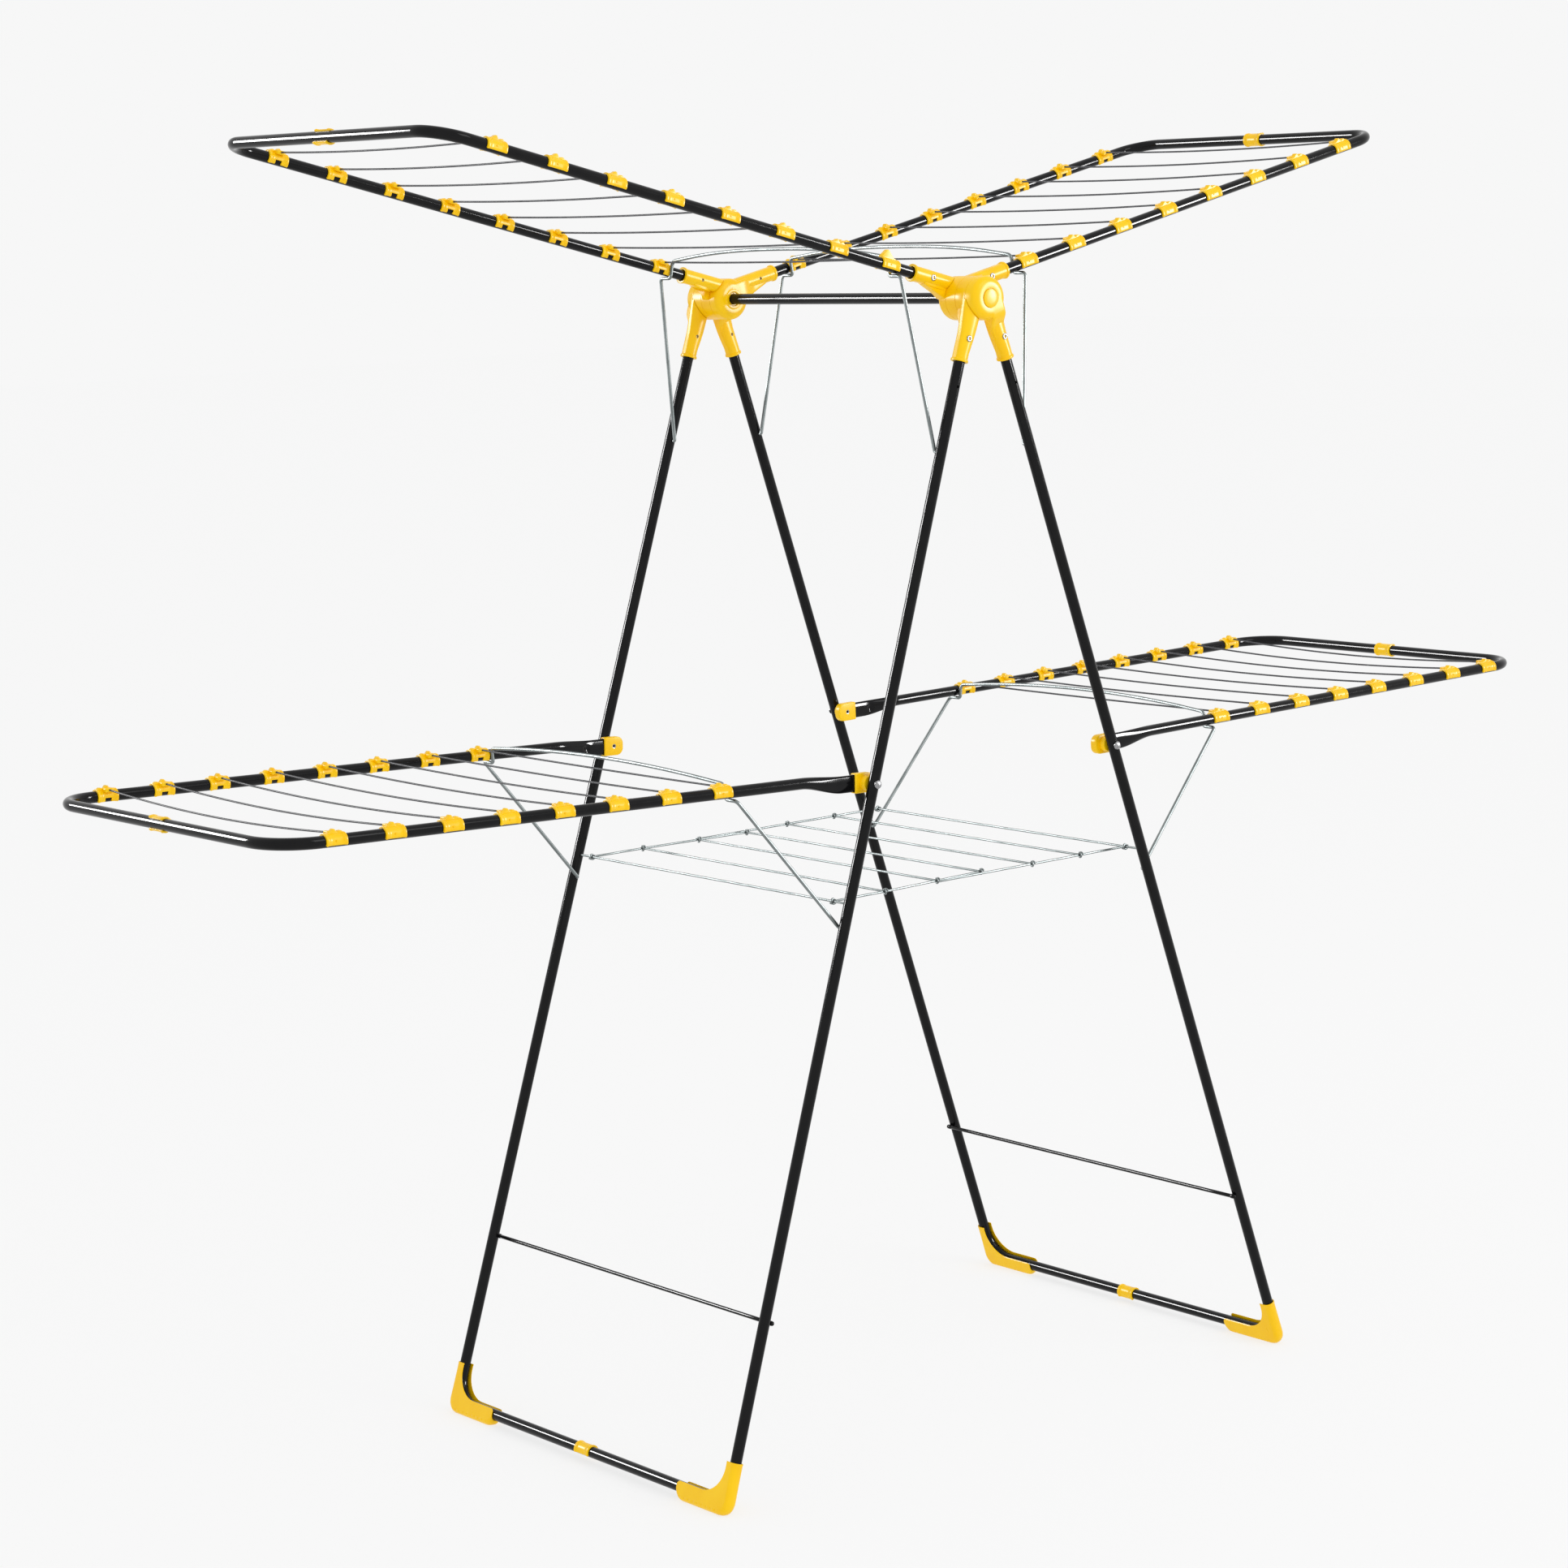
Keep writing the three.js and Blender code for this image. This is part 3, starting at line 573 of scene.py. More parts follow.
def lower_tube(side):
    """The rails end pressed flat, bent down to the pivot and dimpled behind the cap."""
    slope = LOWER[side]
    y = slope.rail_y
    hinge_s, hinge_w = slope.find(JOINT_AT[f"{side}_wing_fold"])
    start = hinge_s - FLAT_PAST
    corners = [slope.at(start, -y), slope.at(slope.reach, -y),
               slope.at(slope.reach, y), slope.at(start, y)]
    path = Path(corners, LOWER_BEND, 16)
    add_flat_stations(path, slope, hinge_s)
    verts, faces = skin_rings(path_rings(path, TUBE_R, TUBE_SIDES))
    flat_y = cap_middle_y()
    moved = []
    for vert in verts:
        s, w = slope.find(vert)
        from_hinge = s - hinge_s
        flat = 1 - smoothstep(FLAT_FROM, FLAT_TO, from_hinge)
        side_y = 1 if vert.y > 0 else -1
        off = abs(vert.y) - y
        new_y = y + off * (1 - FLAT_NARROW * flat) + (flat_y - y) * flat
        new_w = w * (1 + FLAT_WIDEN * flat) + hinge_w * flat
        from_dimple = math.hypot(from_hinge - DIMPLE_AT, new_w - hinge_w)
        if off < 0:
            new_y += DIMPLE_DEPTH * (1 - smoothstep(*DIMPLE_R, from_dimple))
        moved.append(slope.at(s, side_y * new_y, new_w))
    obj = new_object(f"{side}_lower_wing_tube", moved, faces)
    settle(obj, f"{side}_lower_wing_frame", "black_tube")


# ---------- hubs
# Each hub's four slices, in order along Y.
HUB_ORDER = {
    "near": [("right", "leg"), ("left", "leg"), ("right", "wing"), ("left", "wing")],
    "far": [("right", "wing"), ("left", "wing"), ("right", "leg"), ("left", "leg")],
}
HUB_OUTER_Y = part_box("axle_tube")[1].y
HUB_SLICE = 17.55 * MM
HUB_R = 27 * MM
HUB_RIVET_AT = 50 * MM  # down the leg, from the axle
ARM_R = 9.75 * MM
ARM_END = 79 * MM
# A leg's arm is deeper at the axle: by the first below it, by a share of that above it.
SWELL = 11.4 * MM
SWELL_ABOVE = 0.44
SWELL_LENGTH = (72 * MM, 48 * MM)
# An arm's web: where its slope starts below the slice's axis, and where it meets the arm.
WEB_TOUCH = {"leg": (12 * MM, -6.2 * MM), "wing": (24 * MM, -7.5 * MM)}
WEB_MEET = 64 * MM
WEB_HALF = 6.5 * MM


def arm_slope(side, kind):
    """(place, offset, start): place(a, y, b) is a along the arm and b across it, from the
    axle. offset is the arm's own b, and start the a where its length begins."""
    slope = LEG[side] if kind == "leg" else UPPER[side]
    centre_s, centre_w = slope.find(HUB)

    def place(a, y, b):
        return slope.at(centre_s + a, y, centre_w + b)

    start = LEG_TOP[side] - centre_s if kind == "leg" else -centre_s
    return place, -centre_w, start


def hub_disc(name, y_low, y_high, outer, plain):
    """One slice of a hub. outer is -1 or +1 where that face is one of the hub's domed ends,
    plain if that end carries no cap."""
    mid = (y_low + y_high) / 2
    half = (y_high - y_low) / 2 / MM
    flat = [(-half, 0), (-half, 26.75), (-half + 0.25, 27)]
    if outer == 0:
        profile = flat + [(-a, r) for a, r in reversed(flat)]
    else:
        if plain:
            face = [(half - 0.5, 0), (half - 0.5, 8.6), (half + 0.9, 9.2), (half + 1.1, 10),
                    (half + 0.9, 12.4), (half - 0.2, 13.6)]
        else:
            face = [(half - 0.9, 0), (half - 0.9, 11.9), (half - 0.1, 12.1), (half, 12.6)]
        for k in range(9):
            angle = math.radians(8 + 82 * (1 - k / 8))
            face.append((half - 9 + 8.95 * math.sin(angle), 17 + 10 * math.cos(angle)))
        profile = flat + list(reversed(face))
    axis = (0, outer if outer else 1, 0)
    return lathe(name, in_metres(profile), (HUB.x, mid, HUB.z), axis, 72, 50)


def arm_ring(place, a, y, half_y, low, high, power=2.0, flat=0.0, count=48):
    """One section of an arm between low and high, pressed flat there by as much as flat."""
    middle, half = (low + high) / 2, (high - low) / 2
    ring = []
    for k in range(count):
        angle = 2 * math.pi * k / count
        c, s = math.cos(angle), math.sin(angle)
        u = math.copysign(abs(c) ** (2 / power), c) * half_y
        v = math.copysign(abs(s) ** (2 / power), s) * half
        v = min(half - flat, max(flat - half, v))
        ring.append(place(a, y + u, middle + v))
    return ring


def arm_body(name, place, offset, end, kind, arm_y):
    """The straight arm: a socket with two flat sides, a flared lip and a bore."""
    swell = SWELL if kind == "leg" else 0
    stations = [a * MM for a in (0, 12, 24, 36, 48, 60, 72)]
    stations += [end - 4.6 * MM, end - 4 * MM]
    rings = []
    for a in stations:
        low = offset - ARM_R - swell * max(0, 1 - a / SWELL_LENGTH[0])
        high = offset + ARM_R + swell * SWELL_ABOVE * max(0, 1 - a / SWELL_LENGTH[1])
        rings.append(arm_ring(place, a, arm_y, ARM_R, low, high, 2, 0.6 * MM))
    # Back from the end, out from ARM_R, and how far pressed flat.
    lip = [(3.4, 0.5, 0.3), (2.6, 1.1, 0), (0.9, 1.2, 0), (0.3, 1.0, 0),
           (0, 0.4, 0), (0, -1.7, 0), (0.5, -2.2, 0), (6, -2.4, 0)]
    for back, extra, flat in lip:
        r = ARM_R + extra * MM
        rings.append(arm_ring(place, end - back * MM, arm_y, r, offset - r, offset + r, 2, flat * MM))
    return new_object(name, *skin_rings(rings), 32)


def arm_web(name, place, offset, kind, arm_y, y_low, y_high):
    """The web that carries the arm: from the slice's rim it grows thin under the arm."""
    mid, half = (y_low + y_high) / 2, (y_high - y_low) / 2
    under = offset - ARM_R + 0.4 * MM
    touch = WEB_TOUCH[kind]
    rings = []
    for a in (2, 8, 14, 20, 26, 30, 34, 38, 42, 46, 52, 58, 63):
        a *= MM
        along = (a - touch[0]) / (WEB_MEET - touch[0])
        low = lerp(touch[1], under, along) if a > touch[0] else touch[1]
        high = offset + ARM_R * 0.7
        across = smoothstep(22 * MM, 44 * MM, a)
        thick = lerp(half, WEB_HALF, across)
        rings.append(arm_ring(place, a, lerp(mid, arm_y, across), thick, low, high, 7))
    return new_object(name, *skin_rings(rings), 50)


def hub_arm_y(side, kind, end):
    half_width = leg_half_width(HUB_RIVET_AT) if kind == "leg" else UPPER[side].rail_y
    return SIGN[end] * half_width


def hub_start(end):
    return -HUB_OUTER_Y if end == "near" else HUB_OUTER_Y - 4 * HUB_SLICE


def hub_socket(side, kind, end):
    """A slice with its arm, cut clear of its neighbours."""
    node = f"{side}_{kind}_{end}_hub_socket"
    sign = SIGN[end]
    arm_y = hub_arm_y(side, kind, end)
    order = HUB_ORDER[end].index((side, kind))
    y_low = hub_start(end) + order * HUB_SLICE + GAP / 2
    y_high = y_low + HUB_SLICE - GAP
    outer = {0: -1, 3: 1}.get(order, 0)
    disc = hub_disc("disc", y_low, y_high, outer, outer != sign)
    place, offset, start = arm_slope(side, kind)
    arm = arm_body(node + "_moulding", place, offset, ARM_END + start, kind, arm_y)
    reach = 40 * MM
    clear = [
        rod("clear", (HUB.x, y_low - reach, HUB.z), (HUB.x, y_low, HUB.z), HUB_R + GAP * 2, 72),
        rod("clear", (HUB.x, y_high, HUB.z), (HUB.x, y_high + reach, HUB.z), HUB_R + GAP * 2, 72),
    ]
    boolean(arm, clear, "DIFFERENCE", 32)
    web = arm_web("web", place, offset, kind, arm_y, y_low, y_high)
    boolean(arm, [web, disc], "UNION", 32)
    # The web stays out of the slice of the other side's arm, which folds up against it.
    beyond = (y_high, y_high + reach) if order % 2 == 0 else (y_low - reach, y_low)
    floor = offset - ARM_R - 0.5 * MM
    other_arm = [(10 * MM, -reach), (95 * MM, -reach), (95 * MM, floor), (10 * MM, floor)]
    room = extrude("room", other_arm, lambda u, v, w: place(u, w, v), *beyond)
    boolean(arm, [room], "DIFFERENCE", 32)
    rivet_low, rivet_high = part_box(f"{side}_{kind}_{end}_hub_rivet")
    x, z = (rivet_low.x + rivet_high.x) / 2, (rivet_low.z + rivet_high.z) / 2
    hole_start = (x, arm_y - sign * 14 * MM, z)
    hole = rod("hole", hole_start, (x, arm_y - sign * 7.6 * MM, z), 2.2 * MM, 24)
    boolean(arm, [hole], "DIFFERENCE", 32)
    settle(arm, node, "yellow_plastic")


def hub_end_cap(end):
    profile = [(-0.6, 0), (-0.6, 11.3), (0.1, 11.5), (0.7, 11.2), (1.0, 10.2), (1.4, 6), (1.55, 0)]
    centre = (HUB.x, SIGN[end] * HUB_OUTER_Y, HUB.z)
    obj = lathe(f"{end}_hub_cap_disc", in_metres(profile), centre, (0, SIGN[end], 0), 64)
    settle(obj, f"{end}_hub_end_cap", "yellow_plastic")


def hub_rivet(side, kind, end):
    """A tubular rivet along Y: flanged head with a hole outside, rolled end sunk inside."""
    node = f"{side}_{kind}_{end}_hub_rivet"
    low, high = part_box(node)
    centre = ((low.x + high.x) / 2, hub_arm_y(side, kind, end), (low.z + high.z) / 2)
    front = ARM_R / MM + 0.1
    head = [(front - 4.4, 0), (front - 4.4, 1.6), (front + 0.3, 1.7), (front + 0.8, 2.0),
            (front + 0.95, 2.5), (front + 0.8, 3.2), (front + 0.3, 3.9), (front - 0.1, 3.9),
            (front - 0.1, 2.0)]
    tail = [(-front + 1.1, 2.0), (-front + 0.8, 1.8), (-front + 0.9, 1.5), (-front + 2, 1.2),
            (-front + 5, 1.1), (-front + 5, 0)]
    obj = lathe(node + "_tubular", in_metres(head + tail), centre, (0, SIGN[end], 0), 28, 50)
    settle(obj, node, "rivet_steel")


# ---------- foot shoes
SHOE_HALF = 8.4 * MM
SHOE_UP = 50 * MM
SHOE_FILLET = 35 * MM
SHOE_CORNER = 16 * MM
SHOE_SOLE = 15.5 * MM  # below the bottom bar's axis
SHOE_SKIN = (1.1 * MM, 1.2 * MM, 0.8 * MM)  # outside the leg, inside it and over the bar
SHOE_CURVE = (2.1, 2.5)  # squareness of the section up the leg and along the bar
FLUTES = 9
FLUTE_FIRST = 9 * MM
FLUTE_PITCH = 8.6 * MM
FLUTE_R = 1.9 * MM


def shoe_ring(place, outer, inner, squareness):
    """A U-shaped section: rounded at the outer point, straight to the inner one."""
    (u0, v0), (u1, v1) = outer, inner
    length = math.hypot(u1 - u0, v1 - v0)
    du, dv = (u1 - u0) / length, (v1 - v0) / length
    depth = min(SHOE_HALF * 0.95, length * 0.55)
    ring = []
    for k in range(17):
        angle = math.pi * (k / 16 - 0.5)
        across = math.copysign(abs(math.sin(angle)) ** (2 / squareness), math.sin(angle))
        along = depth * (1 - abs(math.cos(angle)) ** (2 / squareness))
        ring.append((along, across * SHOE_HALF))
    edge = 0.7 * MM
    ring += [(length - edge, SHOE_HALF), (length, SHOE_HALF - edge),
             (length, edge - SHOE_HALF), (length - edge, -SHOE_HALF)]
    return [place(u0 + du * t, v0 + dv * t, w) for t, w in ring]


def ray_to_corner(centre, direction, low, outer, corner):
    """Where a ray from the fillet's centre meets the shoe's rounded outer corner."""
    (cu, cv), (du, dv) = centre, direction
    reach = []
    if dv > 1e-6:
        t = (outer - cv) / dv
        if cu + du * t <= low - corner:
            reach.append(t)
    if du > 1e-6:
        t = (low - cu) / du
        if cv + dv * t <= outer - corner:
            reach.append(t)
    if not reach:
        eu, ev = low - corner - cu, outer - corner - cv
        along = eu * du + ev * dv
        off = eu * eu + ev * ev - along * along
        reach.append(along + math.sqrt(max(0, corner * corner - off)))
    return cu + du * reach[0], cv + dv * reach[0]


def foot_shoe(side, end):
    """An L-shaped moulded channel round the tube's corner, with flutes along its sole."""
    node = f"{side}_{end}_foot_shoe"
    low_box, high_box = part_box(node)
    sign = SIGN[end]
    inner_end = low_box.y if sign > 0 else -high_box.y
    axis_y = LEG_Y_FOOT
    outer = axis_y + TUBE_R + SHOE_SKIN[0]
    inner = axis_y - TUBE_R - SHOE_SKIN[1]
    top = LEG_LENGTH - TUBE_R - SHOE_SKIN[2]
    low = LEG_LENGTH + SHOE_SOLE
    high = LEG_LENGTH - SHOE_UP

    def place(u, v, w):
        return leg_at(side, u, sign * v, w)

    rings = []
    # A raised rim round the top.
    for down, proud in ((0, 0), (0.6, 1), (2, 1), (2.5, 0)):
        u = high + down * MM
        rim = (outer + proud * 0.25 * MM, inner - proud * 0.3 * MM)
        rings.append(shoe_ring(place, (u, rim[0]), (u, rim[1]), SHOE_CURVE[0]))
    centre = (top - SHOE_FILLET, inner - SHOE_FILLET)
    for k in range(21):
        angle = math.pi / 2 * k / 20
        direction = (math.sin(angle), math.cos(angle))
        near = (centre[0] + SHOE_FILLET * direction[0], centre[1] + SHOE_FILLET * direction[1])
        far = ray_to_corner(centre, direction, low, outer, SHOE_CORNER)
        rings.append(shoe_ring(place, far, near, lerp(*SHOE_CURVE, k / 20)))
    # The inner end, rounded below and a little above.
    for back in (16, 12, 9, 6.5, 4.5, 3, 1.8, 0.9, 0.3, 0):
        v = inner_end + back * MM
        foot = max(0, 12 - back) / 12
        brow = max(0, 4.5 - back) / 4.5
        sink = 12 * MM * (1 - math.sqrt(1 - foot * foot))
        drop = 4.5 * MM * (1 - math.sqrt(1 - brow * brow))
        rings.append(shoe_ring(place, (low - sink * 0.9, v), (top + drop, v), SHOE_CURVE[1]))
    shoe = new_object(node + "_moulding", *skin_rings(rings))
    half = TUBE_R + 0.35 * MM
    inside = [(high - 0.02, axis_y)]
    inside += arc((LEG_LENGTH - LEG_BEND, axis_y - LEG_BEND), LEG_BEND, 90, 0, 8)
    inside += [(LEG_LENGTH, inner_end - 0.02), (high - 0.02, inner_end - 0.02)]
    slot = extrude("slot", inside, place, -half, half)
    run = Path([place(high - 0.02, axis_y, 0), place(LEG_LENGTH, axis_y, 0),
                place(LEG_LENGTH, inner_end - 0.02, 0)], LEG_BEND, 10)
    bore = tube("bore", run, half, 28)
    corner = place(LEG_LENGTH, axis_y, 0)

    def floor_place(u, v, w):
        return Vector((corner.x + u, corner.y + v, w))

    square = [(-0.2, -0.2), (0.2, -0.2), (0.2, 0.2), (-0.2, 0.2)]
    floor = extrude("floor", square, floor_place, -0.1, 0)
    boolean(shoe, [slot, bore, floor], "DIFFERENCE")
    flutes = []
    for k in range(FLUTES):
        v = inner_end + FLUTE_FIRST + FLUTE_PITCH * k
        for across in (-1, 1):
            foot = place(low, v, across * (SHOE_HALF + 1.1 * MM))
            upper = place(top + 17 * MM, v, across * (SHOE_HALF + 1.25 * MM))
            flutes.append(rod("flute", foot + (foot - upper), upper, FLUTE_R, 16))
    boolean(shoe, [join("flutes", flutes)], "DIFFERENCE")
    settle(shoe, node, "yellow_plastic")


# ---------- clips and lines
def saddle(name, length, outside, inside):
    """A clip over a tube in its own frame: X along the tube, Y outwards, Z up. outside and
    inside are the angles in degrees at which its two edges end."""
    rim = [(0, 1.5), (0.2, 2.0), (0.7, 2.2), (1.9, 2.2), (2.2, 1.75), (4.0, 1.75), (4.3, 1.45)]
    half = length / 2
    columns = [(-half + a * MM, wall * MM) for a, wall in rim]
    columns += [(a * half, 1.45 * MM) for a in (-0.4, -0.2, 0, 0.2, 0.4)]
    columns += [(half - a * MM, wall * MM) for a, wall in reversed(rim)]
    rows = 32
    rings = []
    for x, wall in columns:
        outer, inner = [], []
        for k in range(rows + 1):
            angle = math.radians(lerp(outside, inside, k / rows))
            r = BORE_R + wall + (0.45 * MM if k in (1, 2, rows - 2, rows - 1) else 0)
            outer.append(Vector((x, r * math.cos(angle), r * math.sin(angle))))
            inner.append(Vector((x, BORE_R * math.cos(angle), BORE_R * math.sin(angle))))
        rings.append(outer + list(reversed(inner)))
    return new_object(name, *skin_rings(rings), 45)


def line_clip(tall):
    """A line clip: saddle, hooked rib on top, spout for the line and two legs behind."""
    clip = saddle("clip", CLIP_LENGTH, -30, 226)
    if tall:
        rib = [(13.2, 7.6), (13, 9.4), (5.6, 18.4), (3.8, 18.6), (-5.5, 10.4), (-8, 9.8),
               (-12.6, 8.2), (-12.6, 7.2)]
    else:
        rib = [(12.8, 7.4), (12.6, 8.6), (6, 9.2), (3.6, 10.8), (1.4, 13.2), (-0.6, 13), (-3.4, 9.4),
               (-4.6, 9.2), (-6, 10.6), (-9, 10.9), (-10.8, 9.8), (-12.6, 8.2), (-12.6, 7.2)]
    spout = [(-5.8, 5.6), (-5.8, 10.2), (5.8, 10.6), (5.8, 5.6)]
    window = [(-4.4, -9.5), (-4.4, -1.2), (4.4, -1.2), (4.4, -9.5)]

    def place(u, v, w):
        return Vector((u, w, v))

    parts = [
        extrude("rib", in_metres(rib), place, -4.2 * MM, 2.4 * MM, 0.7 * MM, 3),
        extrude("spout", in_metres(spout), place, -11.6 * MM, -1 * MM, 1.0 * MM, 3),
        rod("peg", (1 * MM, 7.6 * MM, 1 * MM), (1 * MM, 9.4 * MM, 1 * MM), 1.1 * MM, 12),
    ]
    boolean(clip, parts, "UNION", 45)
    between_legs = extrude("window", in_metres(window), place, -13 * MM, -2 * MM)
    bore = rod("bore", (-0.02, 0, 0), (0.02, 0, 0), BORE_R, 64)
    boolean(clip, [between_legs, bore], "DIFFERENCE", 45)
    return clip


def stand(prototype, name, centre, outward, up):
    """A copy of a clip with its Y and Z axes turned to outward and up."""
    along = outward.cross(up)
    mesh = prototype.data.copy()
    mesh.transform(Matrix((
        (along.x, outward.x, up.x, centre.x),
        (along.y, outward.y, up.y, centre.y),
        (along.z, outward.z, up.z, centre.z),
        (0, 0, 0, 1),
    )))
    copy = bpy.data.objects.new(name, mesh)
    bpy.context.scene.collection.objects.link(copy)
    return copy


def wing_lines(side, level):
    """The clips and the lines of one wing, spaced from the line node's box."""
    slope = WINGS[level][side]
    node = f"{side}_{level}_wing_lines"
    low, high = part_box(node)
    ends = sorted(abs(x) for x in (low.x, high.x))
    cosine = abs(slope.along.x)
    first = ends[0] / cosine + CLIP_LENGTH / 2
    last = ends[1] / cosine - CLIP_LENGTH / 2
    pitch = (last - first) / (LINES_PER_WING - 1)
    sags = UPPER_SAG if level == "upper" else LOWER_SAG
    clips, lines = [], []
    for i in range(LINES_PER_WING):
        s = first + i * pitch
        sag = lerp(sags[0], sags[1], i / (LINES_PER_WING - 1))
        for end in ENDS:
            outward = Vector((0, SIGN[end], 0))
            tall = (side, level, end, i) == ("left", "upper", "near", 0)
            centre = slope.at(s, SIGN[end] * slope.rail_y)
            clips.append(stand(TALL_CLIP if tall else CLIP, "clip", centre, outward, slope.normal))
        reach = slope.rail_y - LINE_SHORT
        points = []
        for k in range(25):
            t = -1 + 2 * k / 24
            points.append(slope.at(s, reach * t, LINE_LEVEL - sag * (1 - t * t)))
        lines.append(wire("line", Path(points, 0), LINE_R, 10))
    clip_piece = join(f"{side}_{level}_wing_clips", clips, 45)
    settle(clip_piece, node, "line_and_clips", "yellow_plastic")
    line_piece = join(f"{side}_{level}_wing_drying_lines", lines)
    settle(line_piece, node, "line_and_clips")


def bar_clip(name, node, centre, slope):
    """A plain saddle on the inner side of an end bar."""
    copy = stand(BAR_CLIP, name, centre, slope.normal, -slope.along)
    settle(copy, node, "yellow_plastic")


# ---------- pivots of the lower wings
CAP_LONG = 15 * MM  # half its size along the wing
CAP_TALL = 12.2 * MM  # and across it
CAP_CORNER = 9.5 * MM
BOSS_R = 9 * MM


def pivot_cap(side, end):
    """A moulded cap over the flattened rail end, with its boss against the leg."""
    node = f"{side}_{end}_pivot_cap"
    sign = SIGN[end]
    low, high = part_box(node)
    near_y = low.y if sign > 0 else -high.y
    far_y = high.y if sign > 0 else -low.y
    slope = LOWER[side]
    hinge = JOINT_AT[f"{side}_wing_fold"]
    hinge_s, hinge_w = slope.find(hinge)
    corner_at = (CAP_CORNER - CAP_LONG, CAP_TALL - CAP_CORNER)
    outline = [(CAP_LONG, -CAP_TALL), (CAP_LONG, CAP_TALL)]
    outline += arc(corner_at, CAP_CORNER, 90, 180, 8)
    outline += arc((corner_at[0], -corner_at[1]), CAP_CORNER, 180, 270, 8)

    def place(u, v, w):
        return slope.at(hinge_s + u, sign * (near_y + w), hinge_w + v)

    cap = extrude(node + "_moulding", outline, place, 0, CAP_THICK, 1.6 * MM, 4)
    boss_start = Vector((hinge.x, sign * (near_y + CAP_THICK - 1 * MM), hinge.z))
    rim = far_y - near_y - CAP_THICK
    boss_profile = [(0, 0), (0, BOSS_R), (rim, BOSS_R),
                    (rim + 1 * MM, BOSS_R - 0.8 * MM), (rim + 1 * MM, 0)]
    boss = lathe("boss", boss_profile, boss_start, (0, sign, 0), 36)
    boolean(cap, [boss], "UNION")
    pocket_outline = in_metres([(-9, -10.9), (-9, 10.9), (20, 10.9), (20, -10.9)])
    pocket = extrude("pocket", pocket_outline, place, 1.9 * MM, 8.1 * MM)
    hole_end = (hinge.x, sign * 0.3, hinge.z)
    through = rod("through", (hinge.x, sign * 0.2, hinge.z), hole_end, 2.9 * MM, 24)
    boolean(cap, [pocket, through], "DIFFERENCE")
    settle(cap, node, "yellow_plastic")


def pivot_rivet(side, end):
    """A dome-headed rivet with a hollow countersunk end inside the cap."""
    node = f"{side}_{end}_pivot_rivet"
    sign = SIGN[end]
    low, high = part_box(node)
    inner_y = low.y if sign > 0 else -high.y
    outer_y = high.y if sign > 0 else -low.y
    hinge = JOINT_AT[f"{side}_wing_fold"]
    centre = (hinge.x, sign * inner_y, hinge.z)
    length = (outer_y - inner_y) / MM
    profile = [(2.5, 0), (2.5, 1.4), (0.5, 1.7), (0.15, 2.2), (0, 2.9), (0.3, 4.4), (0.9, 4.6),
               (1.0, 2.5), (length - 3.6, 2.5), (length - 3.3, 5.2)]
    for k in range(1, 10):
        angle = math.radians(90 * k / 9)
        profile.append((length - 3.2 + 3.15 * math.sin(angle), 5.35 * math.cos(angle)))
    obj = lathe(node + "_domed", in_metres(profile), centre, (0, sign, 0), 36, 45)
    settle(obj, node, "rivet_steel")


# ---------- stays
def stay(side, level):
    """One wire from leg to leg: foot, up, under the rail, bowed across and back down."""
    node = f"{side}_{level}_stay"
    slope = WINGS[level][side]
    low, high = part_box(node)
    pivot = JOINT_AT[f"{side}_{level}_stay_fold"]
    s = slope.find(pivot)[0]
    wall = high.y
    foot_y = wall - STAY_R - 1.2 * MM
    outer, inner = slope.rail_y + STAY_BESIDE, slope.rail_y - STAY_BESIDE
    foot_z = low.z + STAY_R
    foot_s = (HUB.z - foot_z) / -LEG[side].along.z
    foot = leg_at(side, foot_s)
    rise, top, lean, power = UPPER_BOW if level == "upper" else LOWER_BOW
    half = [
        Vector((foot.x, wall, foot.z)),
        Vector((foot.x, foot_y, foot.z)),
        Vector((pivot.x, outer, pivot.z)),
        Vector((pivot.x, inner, pivot.z)),
        slope.at(s + lean * 0.3, inner, rise),
    ]
    bends = [0, 3 * MM, 5 * MM, 4.2 * MM, 7 * MM]
    # The bow, by t: its share of the way from the middle to the rail.
    for k in range(1, 10):
        t = 0.86 * (1 - k / 10)
        half.append(slope.at(
            s + lean * (1 - 0.7 * t * t), inner * t, lerp(rise, top, 1 - t ** power)))
        bends.append(0)
    middle = slope.at(s + lean, 0, top)
    mirrored = [Vector((p.x, -p.y, p.z)) for p in reversed(half)]
    path = Path(half + [middle] + mirrored, bends + [0] + bends[::-1], 8)
    settle(wire(node + "_wire", path, STAY_R, 18), node, "bright_wire")


# ---------- shelf
CROSS_R = SHELF_R * 0.95  # cross wires and curls
WOUND_R = 2 * SHELF_R  # a curl's axis round its wire


def curl(centre, axis, radius, turns, grip, lean=0.0):
    """A wire end wound round another wire: a short helix about axis."""
    axis = Vector(axis).normalized()
    across = axis.orthogonal().normalized()
    up = axis.cross(across)
    points = []
    steps = int(16 * turns)
    for k in range(steps + 1):
        angle = 2 * math.pi * k / 16 + lean
        points.append(Vector(centre) + axis * (grip * (k / steps - 0.5))
                      + across * radius * math.cos(angle) + up * radius * math.sin(angle))
    return wire("curl", Path(points, 0), CROSS_R, 10)


